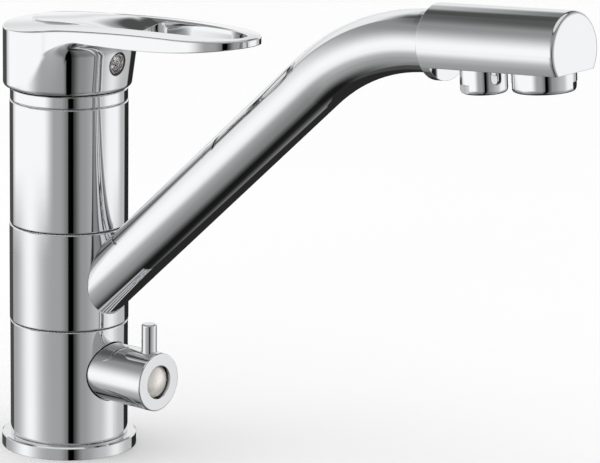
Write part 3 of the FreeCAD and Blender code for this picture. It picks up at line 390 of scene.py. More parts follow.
class TapCameraSettings(bpy.types.PropertyGroup):
    """Where the camera stands"""
    turn: bpy.props.FloatProperty(
        name="Turn", description="Direction from the camera to the body, from +Y towards -X",
        default=math.radians(42.5), subtype="ANGLE")
    distance: bpy.props.FloatProperty(
        name="Distance", description="Level distance from the camera to the body's axis",
        default=1.56947, unit="LENGTH")
    height: bpy.props.FloatProperty(
        name="Height", description="Height of the camera above the worktop", default=0.4732,
        unit="LENGTH")
    aside: bpy.props.FloatProperty(
        name="Aside", description="How far the camera looks to the right of the body's axis",
        default=0.0598, subtype="ANGLE")
    down: bpy.props.FloatProperty(
        name="Down", description="How far the camera looks down", default=0.2398, subtype="ANGLE")
    roll: bpy.props.FloatProperty(
        name="Roll", description="How far the camera is rolled", default=0.0138, subtype="ANGLE")
    lens: bpy.props.FloatProperty(
        name="Lens", description="Focal length in millimetres on a 36 mm wide sensor",
        default=238.17, unit="CAMERA")


# ---- shared measures -----------------------------------------------------------------------------
def eased(share):
    """A share from 0 to 1 that starts and ends softly."""
    return share * share * (3.0 - 2.0 * share)


def step(low, high, value):
    """Smooth step from 0 at low to 1 at high."""
    return eased(min(1.0, max(0.0, (value - low) / (high - low))))


# ---- the handle ----------------------------------------------------------------------------------
def circle_through(first, middle, last):
    """Centre and radius of the circle through three points of a plane."""
    (ax, ay), (bx, by), (cx, cy) = first, middle, last
    double = 2.0 * (ax * (by - cy) + bx * (cy - ay) + cx * (ay - by))
    aa, bb, cc = ax * ax + ay * ay, bx * bx + by * by, cx * cx + cy * cy
    x = (aa * (by - cy) + bb * (cy - ay) + cc * (ay - by)) / double
    y = (aa * (cx - bx) + bb * (ax - cx) + cc * (bx - ax)) / double
    return x, y, math.hypot(ax - x, ay - y)


def arc_through(first, middle, last, count):
    """Points along the shorter arc from first to last that passes middle."""
    x, y, radius = circle_through(first, middle, last)
    start = math.atan2(first[1] - y, first[0] - x)
    turn = (math.atan2(last[1] - y, last[0] - x) - start + math.pi) % (2.0 * math.pi) - math.pi
    angles = start + turn * np.linspace(0.0, 1.0, count)
    return np.column_stack((x + radius * np.cos(angles), y + radius * np.sin(angles)))


def smooth_curve(places, values):
    """A function that runs smoothly through the values at the places (natural cubic spline)."""
    places, values = np.array(places), np.array(values)
    gaps, rises = np.diff(places), np.diff(values)
    count = len(places)
    system, right = np.eye(count), np.zeros(count)
    for i in range(1, count - 1):
        system[i, i - 1], system[i, i + 1] = gaps[i - 1], gaps[i]
        system[i, i] = 2.0 * (gaps[i - 1] + gaps[i])
        right[i] = 6.0 * (rises[i] / gaps[i] - rises[i - 1] / gaps[i - 1])
    bends = np.linalg.solve(system, right)

    def value_at(x):
        i = np.clip(np.searchsorted(places, x) - 1, 0, count - 2)
        a, b, gap = places[i + 1] - x, x - places[i], gaps[i]
        return ((bends[i] * a ** 3 + bends[i + 1] * b ** 3) / (6.0 * gap)
                + (values[i] / gap - bends[i] * gap / 6.0) * a
                + (values[i + 1] / gap - bends[i + 1] * gap / 6.0) * b)

    return value_at


class HandleShape:
    """The handle's outside as one surface of meridians about the leaning column's axis."""

    def __init__(self, sizes):
        self.skirt_r = sizes.skirt_radius / MM
        self.length = sizes.lever_length / MM
        self.half_width = sizes.lever_half_width / MM
        self.nose = sizes.nose_length / MM
        top_tip = (self.length + TOP_TIP_BEYOND, TOP_TIP_HEIGHT)
        self.frame_arc = circle_through(TOP_BACK, TOP_MIDDLE, top_tip)
        xs = [row[0] for row in TONGUE_ROWS]
        self.tongue_middle = smooth_curve(xs, [row[1] for row in TONGUE_ROWS])
        self.tongue_rise = smooth_curve(xs, [row[2] for row in TONGUE_ROWS])
        column = np.column_stack((np.linspace(COLUMN_FOOT_R, COLUMN_TOP[0], 200),
                                  np.linspace(0.0, COLUMN_TOP[1], 200)))
        arch = arc_through(COLUMN_TOP, ARCH_MIDDLE, ARCH_END, 160)
        under = arc_through(ARCH_END, UNDER_MIDDLE, UNDER_TIP, 500)
        bell = np.vstack((column, arch[1:], under[1:]))
        self.bell_r, self.bell_z = bell[:, 0], bell[:, 1]
        steps = np.hypot(np.diff(self.bell_r), np.diff(self.bell_z))
        self.bell_s = np.concatenate(([0.0], np.cumsum(steps)))

    def outline(self):
        """The plan of skirt and lever: its half with y above 0, from the back to the tip."""
        centre = self.length - self.nose
        angle = math.atan2(self.nose * SIDE_SLOPE, self.half_width)
        touch = math.pi / 2 - angle
        x1 = centre + self.nose * math.cos(touch)
        y1 = self.half_width * math.sin(touch)
        side_y = y1 + SIDE_SLOPE * x1
        across = math.sqrt(1.0 + SIDE_SLOPE ** 2)
        reach = self.skirt_r + WAIST_R
        normal = (SIDE_SLOPE / across, 1.0 / across)
        a = 1.0 + SIDE_SLOPE ** 2
        b = 2.0 * (WAIST_R * normal[0] - SIDE_SLOPE * (side_y + WAIST_R * normal[1]))
        c = (WAIST_R * normal[0]) ** 2 + (side_y + WAIST_R * normal[1]) ** 2 - reach ** 2
        x_line = (-b + math.sqrt(b * b - 4.0 * a * c)) / (2.0 * a)
        waist = (x_line + WAIST_R * normal[0], side_y - SIDE_SLOPE * x_line + WAIST_R * normal[1])
        skirt_end = math.atan2(waist[1], waist[0])
        turn = np.linspace(math.pi, skirt_end, 400)
        skirt = np.column_stack((self.skirt_r * np.cos(turn), self.skirt_r * np.sin(turn)))
        turn = np.linspace(skirt_end - math.pi, math.atan2(-normal[1], -normal[0]), 200)[1:]
        blend = np.column_stack((waist[0] + WAIST_R * np.cos(turn), waist[1] + WAIST_R * np.sin(turn)))
        share = np.linspace(0.0, 1.0, 400)[1:, None]
        line = blend[-1] + share * (np.array((x1, y1)) - blend[-1])
        turn = np.linspace(touch, 0.0, 600)[1:]
        tip = np.column_stack((centre + self.nose * np.cos(turn), self.half_width * np.sin(turn)))
        dense = np.vstack((skirt, blend, line, tip))
        steps = np.hypot(np.diff(dense[:, 0]), np.diff(dense[:, 1]))
        run = np.concatenate(([0.0], np.cumsum(steps)))
        even = np.linspace(0.0, run[-1], OUTLINE_POINTS)
        return np.column_stack((np.interp(even, run, dense[:, 0]), np.interp(even, run, dense[:, 1])))

    def frame_z(self, x, y):
        """Height of the crowned frame above the skirt's foot."""
        cx, cz, radius = self.frame_arc
        return cz + np.sqrt(radius ** 2 - (x - cx) ** 2) - y ** 2 / (2.0 * CROWN_R)

    def tongue_z(self, x, y):
        """Height of the tongue: a raised pad at the back that sinks as a scoop to the loop."""
        across = (np.abs(y) / TONGUE_EDGE_Y) ** TONGUE_BOWL
        ahead = (np.maximum(x - TONGUE_X, 0.0) / TONGUE_FRONT) ** TONGUE_POWER
        return self.tongue_middle(x) + self.tongue_rise(x) * (across + ahead)

    def crease_r(self, cos_a, sin_a):
        """Distance from the column's axis to the tongue's edge in a direction."""
        low, high = 0.0, self.length
        for _ in range(HALVINGS):
            middle = (low + high) / 2
            x = COLUMN_X + middle * cos_a - TONGUE_X
            reach = TONGUE_FRONT if x > 0 else TONGUE_BACK
            power = TONGUE_POWER if x > 0 else TONGUE_BACK_POWER
            inside = abs(x / reach) ** power + abs(middle * sin_a / TONGUE_HALF_WIDTH) ** power < 1.0
            low, high = (middle, high) if inside else (low, middle)
        return low

    def under_z(self, x, y):
        """Height of the lever's underside."""
        return np.interp(np.hypot(x - COLUMN_X, y), self.bell_r, self.bell_z)

    def wall(self, rim_r, cos_a):
        """The column, the arch and the lever's underside up to the rim's wall, for one meridian."""
        start = np.interp(FOOT_EDGE_R, self.bell_z, self.bell_s)
        top = np.interp(BLEND_TOP_Z, self.bell_z, self.bell_s)
        turn_out = max(np.interp(rim_r + BLEND_R, self.bell_r, self.bell_s), top)
        at_start, at_end = BLEND_START_SHARES
        turn_in = max(np.interp(rim_r - BLEND_R, self.bell_r, self.bell_s),
                      at_start * start + at_end * turn_out)
        s = np.concatenate((np.linspace(start, turn_in, 64), np.linspace(turn_in, turn_out, 30)[1:]))
        r = np.interp(s, self.bell_s, self.bell_r) + FLANK_ROOM * (1.0 - step(*FLANK_AHEAD, cos_a))
        z = np.interp(s, self.bell_s, self.bell_z)
        forward = step(*BLEND_AHEAD, cos_a)
        below_top = np.clip(1.0 - z / BLEND_TOP_Z, 0.0, 1.0) ** BLEND_POWER
        blend = BLEND_R + forward * (BLEND_FOOT_R - BLEND_R) * below_top
        near = np.maximum(blend - np.abs(r - rim_r), 0.0)
        return np.minimum(r, rim_r) - near ** 2 / (4.0 * blend), z

    def meridian(self, x, y):
        """The closed half section in the plane through the column's axis and a point of the outline."""
        rim_r = math.hypot(x - COLUMN_X, y)
        cos_a, sin_a = (x - COLUMN_X) / rim_r, y / rim_r
        quarter = np.linspace(0.0, math.pi / 2, 7)
        roof_r = ROOM_R - ROOF_ROUND
        r = [np.linspace(0.0, roof_r, 8), roof_r + ROOF_ROUND * np.sin(quarter)[1:]]
        z = [np.full(8, ROOF_H), ROOF_H - ROOF_ROUND * (1.0 - np.cos(quarter))[1:]]
        r.append(np.full(5, ROOM_R))
        z.append(np.linspace(ROOF_H - ROOF_ROUND, ROOM_FOOT_Z, 6)[1:])
        wall_r, wall_z = self.wall(rim_r, cos_a)
        foot_r = wall_r[0]
        round_r = min(FOOT_EDGE_R, FOOT_WALL_SHARE * (foot_r - ROOM_R))
        r.append(foot_r - round_r + round_r * np.sin(quarter)[:-1])
        z.append(FOOT_EDGE_R * (1.0 - np.cos(quarter))[:-1])
        r.append(wall_r)
        z.append(wall_z)
        rim_x, rim_y = COLUMN_X + (rim_r - RIM_R) * cos_a, (rim_r - RIM_R) * sin_a
        rim_z = self.frame_z(rim_x, rim_y)
        r.append(np.full(9, rim_r))
        z.append(np.linspace(wall_z[-1], rim_z - RIM_R, 10)[1:])
        r.append(rim_r - RIM_R * (1.0 - np.cos(quarter))[1:])
        z.append(rim_z - RIM_R + RIM_R * np.sin(quarter)[1:])
        crease = self.crease_r(cos_a, sin_a)
        top_r = np.concatenate((
            np.linspace(rim_r - RIM_R, crease + CREASE_W / 2, 22)[1:],
            np.linspace(crease + CREASE_W / 2, crease - CREASE_W / 2, 9)[1:],
            np.linspace(crease - CREASE_W / 2, 0.0, 76)[1:]))
        px, py = COLUMN_X + top_r * cos_a, top_r * sin_a
        share = eased(np.clip((crease + CREASE_W / 2 - top_r) / CREASE_W, 0.0, 1.0))
        r.append(top_r)
        z.append(self.frame_z(px, py) * (1.0 - share) + self.tongue_z(px, py) * share)
        r, z = np.concatenate(r), np.concatenate(z)
        return COLUMN_X + r * cos_a, r * sin_a, z

    def mesh(self):
        """The handle before the loop and the plug's seat are cut."""
        half = self.outline()
        rim = np.vstack((half, (half * (1.0, -1.0))[-2:0:-1]))
        sections = [self.meridian(x, y) for x, y in rim]
        rows, columns = len(sections[0][0]), len(sections)
        points = [(COLUMN_X, 0.0, sections[0][2][0])]
        for xs, ys, zs in sections:
            points.extend(zip(xs[1:-1], ys[1:-1], zs[1:-1]))
        points.append((COLUMN_X, 0.0, sections[0][2][-1]))
        inner = rows - 2
        faces = []
        for k in range(columns):
            here, there = 1 + k * inner, 1 + (k + 1) % columns * inner
            faces.append((0, there, here))
            for j in range(inner - 1):
                faces.append((here + j, there + j, there + j + 1, here + j + 1))
            faces.append((here + inner - 1, there + inner - 1, len(points) - 1))
        return points, faces

    def loop_outline(self):
        """The loop's wall in plan: inside the tongue's edge, and round a broad arc at its back."""
        middle = (LOOP_BACK_X + TONGUE_X + TONGUE_FRONT) / 2.0
        ring = []
        for angle in np.linspace(0.0, 2.0 * math.pi, LOOP_POINTS, endpoint=False):
            cos_a, sin_a = math.cos(angle), math.sin(angle)
            low, high = 0.0, self.length
            for _ in range(HALVINGS):
                reach = (low + high) / 2.0
                x, y = middle + reach * cos_a, reach * sin_a
                ahead = max(x - TONGUE_X, 0.0) / (TONGUE_FRONT - LOOP_INSET)
                across = abs(y) / (TONGUE_HALF_WIDTH - LOOP_INSET)
                behind = max(LOOP_BACK_X + LOOP_BACK_R - x, 0.0) / LOOP_BACK_R
                inside = (ahead ** TONGUE_POWER + across ** TONGUE_POWER < 1.0
                          and behind ** LOOP_BACK_POWER + across ** LOOP_BACK_POWER < 1.0)
                low, high = (reach, high) if inside else (low, reach)
            ring.append((middle + low * cos_a, low * sin_a))
        return np.array(ring)

    def loop_cutter(self):
        """The loop's space, flared where its lower rim is rounded."""
        ring = self.loop_outline()
        along = np.roll(ring, -1, axis=0) - np.roll(ring, 1, axis=0)
        out = np.column_stack((along[:, 1], -along[:, 0])) / np.hypot(along[:, 0], along[:, 1])[:, None]
        points, faces = [], []
        for (x, y), (out_x, out_y) in zip(ring, out):
            under = float(self.under_z(x, y))
            for offset, up in LOOP_PROFILE:
                points.append((x + offset * out_x, y + offset * out_y, under + up))
        rows, columns = len(LOOP_PROFILE), len(ring)
        for k in range(columns):
            here, there = k * rows, (k + 1) % columns * rows
            for j in range(rows - 1):
                faces.append((here + j, there + j, there + j + 1, here + j + 1))
        faces.append(tuple(k * rows for k in reversed(range(columns))))
        faces.append(tuple(k * rows + rows - 1 for k in range(columns)))
        return points, faces


# ---- meshes --------------------------------------------------------------------------------------
def mesh_object(name, points, faces, matrix=None):
    """A closed mesh in millimetres as an object in metres."""
    mesh = bpy.data.meshes.new(name)
    mesh.from_pydata([Vector(point) * MM for point in points], [], faces)
    shape = bmesh.new()
    shape.from_mesh(mesh)
    bmesh.ops.recalc_face_normals(shape, faces=shape.faces)
    shape.to_mesh(mesh)
    shape.free()
    if matrix is not None:
        mesh.transform(matrix)
    made = bpy.data.objects.new(name, mesh)
    bpy.context.scene.collection.objects.link(made)
    return made


def cut(target, cutter):
    """Cut one closed mesh out of another and delete the cutter."""
    tool = target.modifiers.new("cut", "BOOLEAN")
    tool.operation = "DIFFERENCE"
    tool.solver = "EXACT"
    tool.object = cutter
    bpy.context.view_layer.update()
    result = bpy.data.meshes.new_from_object(target.evaluated_get(bpy.context.evaluated_depsgraph_get()))
    target.modifiers.remove(tool)
    old = target.data
    target.data = result
    bpy.data.meshes.remove(old)
    bpy.data.objects.remove(cutter)
    target.data.name = target.name


def smooth(target, crease_degrees):
    """Shade a mesh smooth between creases sharper than an angle."""
    for face in target.data.polygons:
        face.use_smooth = True
    target.data.set_sharp_from_angle(angle=math.radians(crease_degrees))


def turned(profile, sides):
    """Points and faces of a closed piece turned about Z.

    The profile is (radius, height) pairs, of which the first and the last lie on the axis.
    """
    inner = profile[1:-1]
    points = [(0.0, 0.0, profile[0][1])]
    for k in range(sides):
        angle = 2.0 * math.pi * k / sides
        points.extend((r * math.cos(angle), r * math.sin(angle), z) for r, z in inner)
    points.append((0.0, 0.0, profile[-1][1]))
    faces = []
    for k in range(sides):
        here, there = 1 + k * len(inner), 1 + (k + 1) % sides * len(inner)
        faces.append((0, there, here))
        faces.extend((here + j, there + j, there + j + 1, here + j + 1) for j in range(len(inner) - 1))
        faces.append((here + len(inner) - 1, there + len(inner) - 1, len(points) - 1))
    return points, faces


def plug_frame():
    """The plug's axis, along +Z of its own frame, at its place on the handle's column."""
    share = PLUG_Z / COLUMN_TOP[1]
    x = COLUMN_X + COLUMN_FOOT_R + (COLUMN_TOP[0] - COLUMN_FOOT_R) * share
    turn = Matrix.Rotation(math.pi / 2 + PLUG_LEAN, 4, "Y")
    return Matrix.Translation((x * MM, 0.0, (HANDLE_FOOT_Z + PLUG_Z) * MM)) @ turn


# ---- finishes ------------------------------------------------------------------------------------
def polished_chrome(finish, name="polished_chrome"):
    """Mirror plating with the faint unevenness of a polished casting."""
    rough = finish.chrome_roughness
    return surface(name, finish.chrome_colour, 0.012, 22.0, (0.7 * rough, 1.5 * rough), 60.0,
                   160.0, 0.0000012, finish.edge_radius, metallic=1.0)


def turned_pearl(finish):
    """Satin pearl lacquer over metal, with fine rings from the lathe about the knob's axis."""
    material = surface("turned_pearl", finish.pearl_colour, 0.06, 220.0, (0.24, 0.34), 300.0,
                       900.0, 0.000006, metallic=0.75)
    tree = material.node_tree
    low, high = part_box("knob_cap")
    place = add(tree, "ShaderNodeTexCoord")
    shift = add(tree, "ShaderNodeVectorMath", operation="SUBTRACT")
    shift.inputs[1].default_value = (0.0, 0.0, (low.z + high.z) / 2)
    flat = add(tree, "ShaderNodeVectorMath", operation="MULTIPLY")
    flat.inputs[1].default_value = (0.0, 1.0, 1.0)
    reach = add(tree, "ShaderNodeVectorMath", operation="LENGTH")
    rings = add(tree, "ShaderNodeTexNoise", noise_dimensions="1D", Scale=2600.0, Detail=2.0)
    groove = add(tree, "ShaderNodeBump", Strength=0.35, Distance=0.00001)
    tree.links.new(place.outputs["Object"], shift.inputs[0])
    tree.links.new(shift.outputs["Vector"], flat.inputs[0])
    tree.links.new(flat.outputs["Vector"], reach.inputs[0])
    tree.links.new(reach.outputs["Value"], rings.inputs["W"])
    tree.links.new(rings.outputs["Fac"], groove.inputs["Height"])
    shader = tree.nodes["Principled BSDF"]
    tree.links.new(shader.inputs["Normal"].links[0].from_socket, groove.inputs["Normal"])
    tree.links.new(groove.outputs["Normal"], shader.inputs["Normal"])
    return material


# ---- operators: the tap --------------------------------------------------------------------------
class TAP_OT_dress_body(bpy.types.Operator):
    """Plate the column, the spout, the outlets, the knob and the handle"""
    bl_idname = "tap.dress_body"
    bl_label = "Plated pieces"

    def execute(self, context):
        dress(PLATED_PIECES, polished_chrome(context.scene.tap_finish))
        return {"FINISHED"}


class TAP_OT_build_handle(bpy.types.Operator):
    """Build the lever handle with its pad, scoop, loop and the seat of its plug"""
    bl_idname = "tap.build_handle"
    bl_label = "Handle"

    def execute(self, context):
        sizes = context.scene.tap_handle
        shape = HandleShape(sizes)
        up = Matrix.Translation((0.0, 0.0, HANDLE_FOOT_Z * MM))
        handle = mesh_object("lever_handle", *shape.mesh(), up)
        cut(handle, mesh_object("loop_cutter", *shape.loop_cutter(), up))
        seat_r = sizes.plug_seat_radius / MM
        seat = [(0.0, -SEAT_DEPTH), (seat_r - SEAT_CORNER, -SEAT_DEPTH), (seat_r, SEAT_CORNER - SEAT_DEPTH),
                (seat_r, SEAT_STRAIGHT_TOP)]
        seat += [(seat_r + wider, z) for wider, z in SEAT_MOUTH]
        seat.append((0.0, SEAT_MOUTH[-1][1]))
        cut(handle, mesh_object("plug_seat_cutter", *turned(seat, 64), plug_frame()))
        smooth(handle, 38.0)
        handle.data.materials.append(polished_chrome(context.scene.tap_finish, "handle_chrome"))
        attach(handle, "lever")
        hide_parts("handle")
        return {"FINISHED"}


class TAP_OT_build_plug(bpy.types.Operator):
    """Build the clear plug with its lip and its small hole over the handle's screw"""
    bl_idname = "tap.build_plug"
    bl_label = "Index plug"

    def execute(self, context):
        plug = mesh_object("screw_plug", *turned(PLUG_PROFILE, 72), plug_frame())
        smooth(plug, 40.0)
        clear = surface("pale_plug", context.scene.tap_finish.plug_colour, 0.05, 300.0, (0.04, 0.10), 300.0,
                        900.0, 0.000004)
        shader = clear.node_tree.nodes["Principled BSDF"]
        shader.inputs["Transmission Weight"].default_value = 0.85
        shader.inputs["IOR"].default_value = 1.49
        plug.data.materials.append(clear)
        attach(plug, "lever")
        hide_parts("index_plug")
        return {"FINISHED"}


class TAP_OT_build_plug_gap_shade(bpy.types.Operator):
    """Build a black ring in the gap round the plug, as painted shade where that gap is dark"""
    bl_idname = "tap.build_plug_ring"
    bl_label = "Plug's gap shade"

    def execute(self, context):
        points, faces = [], []
        around, across = 72, 14
        for k in range(around):
            angle = 2.0 * math.pi * k / around
            for j in range(across):
                turn = 2.0 * math.pi * j / across
                reach = PLUG_SHADE_RING_R + PLUG_SHADE_RING_THICK * math.cos(turn)
                points.append((reach * math.cos(angle), reach * math.sin(angle),
                               PLUG_SHADE_RING_Z + PLUG_SHADE_RING_THICK * math.sin(turn)))
                here, there = k * across, (k + 1) % around * across
                faces.append((here + j, there + j, there + (j + 1) % across, here + (j + 1) % across))
        ring = mesh_object("plug_gap_shade_ring", points, faces, plug_frame())
        smooth(ring, 60.0)
        # The ring's black is painted shade in the gap between the plug and its seat. It uses the seals' black
        # colour, but the real tap has no ring here.
        rubber = context.scene.tap_finish.rubber_colour
        ring.data.materials.append(surface("plug_gap_painted_shade", rubber, 0.15, 200.0, (0.45, 0.60), 300.0,
                                           1500.0, 0.00001))
        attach(ring, "lever")
        return {"FINISHED"}


class TAP_OT_build_cap(bpy.types.Operator):
    """Build the domed pearl cap in the knob's face"""
    bl_idname = "tap.build_cap"
    bl_label = "Knob cap"

    def execute(self, context):
        low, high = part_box("knob_cap")
        face = Matrix.Translation((high.x, 0.0, (low.z + high.z) / 2))
        stand = face @ Matrix.Rotation(math.pi / 2, 4, "Y")
        reach = (high.z - low.z) / 2 / MM - CAP_GAP
        dome = [(reach * share, -CAP_DOME * share ** 2) for share in np.linspace(1.0, 0.0, CAP_RINGS)]
        back = (low.x - high.x) / MM
        profile = [(0.0, back), (reach, back)]
        profile += [(reach - inward, -CAP_DOME - down) for inward, down in CAP_EDGE]
        profile += [(r, z) for r, z in dome if r < reach - CAP_EDGE_ROOM]
        cap = mesh_object("domed_cap", *turned(profile, 96), stand)
        smooth(cap, 40.0)
        cap.data.materials.append(turned_pearl(context.scene.tap_finish))
        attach(cap, "filter_handle")
        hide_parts("knob_cap")
        return {"FINISHED"}


class TAP_OT_dress_metal(bpy.types.Operator):
    """Give the brass and steel pieces their machined finish"""
    bl_idname = "tap.dress_metal"
    bl_label = "Brass and steel"

    def execute(self, context):
        finish = context.scene.tap_finish
        brass = surface("machined_brass", finish.brass_colour, 0.05, 90.0, (0.22, 0.34), 120.0,
                        900.0, 0.000006, metallic=1.0)
        steel = surface("machined_steel", finish.steel_colour, 0.04, 120.0, (0.20, 0.32), 160.0,
                        1200.0, 0.000004, metallic=1.0)
        dress(BRASS_PIECES, brass)
        dress(STEEL_PIECES, steel)
        return {"FINISHED"}


class TAP_OT_dress_seals(bpy.types.Operator):
    """Give the seals, glide rings, cartridge and discs their moulded or lapped finish"""
    bl_idname = "tap.dress_seals"
    bl_label = "Seals, plastic and ceramic"

    def execute(self, context):
        finish = context.scene.tap_finish
        rubber = surface("seal_rubber", finish.rubber_colour, 0.15, 200.0, (0.50, 0.65), 300.0,
                         1500.0, 0.00001)
        acetal = surface("white_acetal", finish.acetal_colour, 0.015, 150.0, (0.32, 0.42), 250.0,
                         900.0, 0.000006)
        grey = surface("glass_filled_plastic", finish.grey_plastic_colour, 0.05, 400.0, (0.42, 0.55),
                       500.0, 1400.0, 0.000012)
        ceramic = surface("lapped_ceramic", finish.ceramic_colour, 0.01, 300.0, (0.10, 0.18), 200.0,
                          1800.0, 0.000002)
        dress(RUBBER_PIECES, rubber)
        dress(ACETAL_PIECES, acetal)
        dress(GREY_PLASTIC_PIECES, grey)
        dress(CERAMIC_PIECES, ceramic)
        return {"FINISHED"}


class TAP_OT_dress_caps(bpy.types.Operator):
    """Give the solid cap and plug, which the built ones stand in for, their finishes"""
    bl_idname = "tap.dress_caps"
    bl_label = "Solid cap and plug"

    def execute(self, context):
        finish = context.scene.tap_finish
        pearl = surface("pearl_cap", finish.pearl_colour, 0.10, 260.0, (0.16, 0.26), 300.0,
                        900.0, 0.00001)
        plug = surface("clear_plug", finish.plug_colour, 0.05, 300.0, (0.10, 0.18), 300.0,
                       900.0, 0.000004)
        dress(("knob_cap",), pearl)
        dress(("index_plug",), plug)
        return {"FINISHED"}


# ---- the studio ----------------------------------------------------------------------------------
def window(value, low, high, soft):
    """1 between low and high, with edges that are soft wide."""
    rise = step(low - soft / 2, low + soft / 2, value)
    return rise * (1.0 - step(high - soft / 2, high + soft / 2, value))


def bell(value, middle, width):
    """1 at the middle, falling off to both sides."""
    return math.exp(-((value - middle) / width) ** 2)


def climb(level, rises, value):
    """A level after its (rise, low, high) steps."""
    for rise, low, high in rises:
        level += rise * step(low, high, value)
    return level


def front_level(side, height, box_level):
    """The level of the tent's wall to the left, ahead and to the right of the camera."""
    from_glow = (side - LEFT_GLOW_SIDE + 180.0) % 360.0 - 180.0
    glow_width = LEFT_GLOW_WIDTHS[0] if from_glow < 0 else LEFT_GLOW_WIDTHS[1]
    left = LEFT_LEVEL + (box_level - LEFT_GLOW_BELOW_BOX) * bell(from_glow, 0.0, glow_width)
    right = climb(RIGHT_LEVEL, RIGHT_RISES, side) + RIGHT_GLOW_LEVEL * bell(side, *RIGHT_GLOW)
    wall = left if side < RIGHT_SIDES[0] or side > RIGHT_SIDES[1] else right
    wall += (box_level - wall) * window(side, *LEFT_BOX) * step(*BOX_FOOT, height)
    wall += (RIGHT_BOX_LEVEL - wall) * window(side, *RIGHT_BOX) * step(*BOX_FOOT, height)
    wall *= 1.0 - SHADE_DEPTH * bell(side, *SHADE) * (1.0 - step(*SHADE_TOP, height))
    wall *= 1.0 - FLAG_DEPTH * window(side, *FLAG) * (1.0 - step(*FLAG_TOP, height))
    wall += (UPPER_LEVEL - wall) * step(*UPPER_HEIGHTS, height)
    wall += (DARK_RING_LEVEL - wall) * step(*DARK_RING_HEIGHTS, height)
    return wall


def back_level(side, height):
    """The level of the tent's wall on the far side from the left and right walls."""
    low = BACK_LOW_LEVEL + BACK_LOW_PANEL_LEVEL * window(side, *BACK_LOW_PANEL)
    back = low + (1.0 - low) * step(*BACK_RISE, height) - BACK_DIP_DEPTH * bell(height, *BACK_DIP)
    raised = BACK_RAISED_BY * step(*BACK_RAISED_SIDES, side % 360.0)
    back += (BACK_TOP_LEVEL - back) * step(BACK_TOP[0] + raised, BACK_TOP[1] + raised, height)
    return back


def tent_level(side, height, box_level):
    """The level of light that the chrome sees in a direction."""
    wall = front_level(side, height, box_level)
    behind = max(step(*BACK_RIGHT_EDGE, side), 1.0 - step(*BACK_LEFT_EDGE, side))
    level = wall + (back_level(side, height) - wall) * behind
    level *= 1.0 - LOW_SHADE_DEPTH * (1.0 - step(*LOW_SHADE_HEIGHTS, height)) * (1.0 - behind)
    table = climb(TABLE_LEVEL, TABLE_RISES, height)
    level += (min(table, level) - level) * (1.0 - step(*TABLE_EDGE, height))
    level += (CEILING_LEVEL - level) * step(*CEILING_EDGE, height)
    return level


def build_tent(studio, turn):
    """A round tent of light boxes and dark panels, seen by the chrome only."""
    columns, rows = TENT_COLUMNS, TENT_ROWS
    view = -math.pi / 2 + turn
    points, levels, faces = [], [], []
    for row in range(rows + 1):
        height = -90.0 + 180.0 * row / rows
        for column in range(columns):
            side = -180.0 + 360.0 * column / columns
            azimuth = view + math.radians(side)
            level_r = studio.tent_radius * math.cos(math.radians(height))
            points.append((level_r * math.cos(azimuth), level_r * math.sin(azimuth),
                           studio.tent_radius * math.sin(math.radians(height))))
            levels.append(tent_level(side, height, studio.box_level))
    for row in range(rows):
        for column in range(columns):
            right = (column + 1) % columns
            faces.append((row * columns + column, row * columns + right,
                          (row + 1) * columns + right, (row + 1) * columns + column))
    mesh = bpy.data.meshes.new("studio_tent")
    mesh.from_pydata(points, [], faces)
    glow = mesh.attributes.new("glow", "FLOAT", "POINT")
    glow.data.foreach_set("value", levels)
    material = new_material("tent_panels")
    tree = material.node_tree
    tree.nodes.remove(tree.nodes["Principled BSDF"])
    read = add(tree, "ShaderNodeAttribute", attribute_name="glow")
    light = add(tree, "ShaderNodeEmission")
    tree.links.new(read.outputs["Fac"], light.inputs["Strength"])
    tree.links.new(light.outputs["Emission"], tree.nodes["Material Output"].inputs["Surface"])
    mesh.materials.append(material)
    tent = bpy.data.objects.new("studio_tent", mesh)
    bpy.context.scene.collection.objects.link(tent)
    tent.visible_camera = False
    tent.visible_diffuse = False
    tent.visible_transmission = False
    tent.visible_shadow = False


def build_floor(studio):
    """A pale round floor that the camera sees and that keeps the tap's shadow."""
    points = [(0.0, 0.0, 0.0)]
    for index in range(FLOOR_SIDES):
        angle = 2.0 * math.pi * index / FLOOR_SIDES
        points.append((studio.floor_radius * math.cos(angle), studio.floor_radius * math.sin(angle), 0.0))
    faces = [(0, index + 1, (index + 1) % FLOOR_SIDES + 1) for index in range(FLOOR_SIDES)]
    mesh = bpy.data.meshes.new("studio_floor")
    mesh.from_pydata(points, [], faces)
    colour = tuple(studio.floor_colour)
    material = surface("pale_floor", colour, 0.01, 3.0, (0.80, 0.90), 5.0, 200.0, 0.00002)
    mesh.materials.append(material)
    floor = bpy.data.objects.new("studio_floor", mesh)
    bpy.context.scene.collection.objects.link(floor)
    floor.visible_glossy = False


def build_world(studio):
    """White where it is seen or reflected, and an even fill light elsewhere."""
    world = bpy.data.worlds.new("studio_world")
    bpy.context.scene.world = world
    world.use_nodes = True
    tree = world.node_tree
    fill = tree.nodes["Background"]
    fill.inputs["Color"].default_value = (1.0, 1.0, 1.0, 1.0)
    fill.inputs["Strength"].default_value = studio.sky_level
    white = add(tree, "ShaderNodeBackground", Color=(1.0, 1.0, 1.0, 1.0), Strength=1.0)
    path = add(tree, "ShaderNodeLightPath")
    seen = add(tree, "ShaderNodeMath", operation="MAXIMUM")
    either = add(tree, "ShaderNodeMath", operation="MAXIMUM")
    mix = add(tree, "ShaderNodeMixShader")
    tree.links.new(path.outputs["Is Camera Ray"], seen.inputs[0])
    tree.links.new(path.outputs["Is Glossy Ray"], seen.inputs[1])
    tree.links.new(seen.outputs[0], either.inputs[0])
    tree.links.new(path.outputs["Is Transmission Ray"], either.inputs[1])
    tree.links.new(either.outputs[0], mix.inputs["Fac"])
    tree.links.new(fill.outputs[0], mix.inputs[1])
    tree.links.new(white.outputs[0], mix.inputs[2])
    tree.links.new(mix.outputs[0], tree.nodes["World Output"].inputs["Surface"])


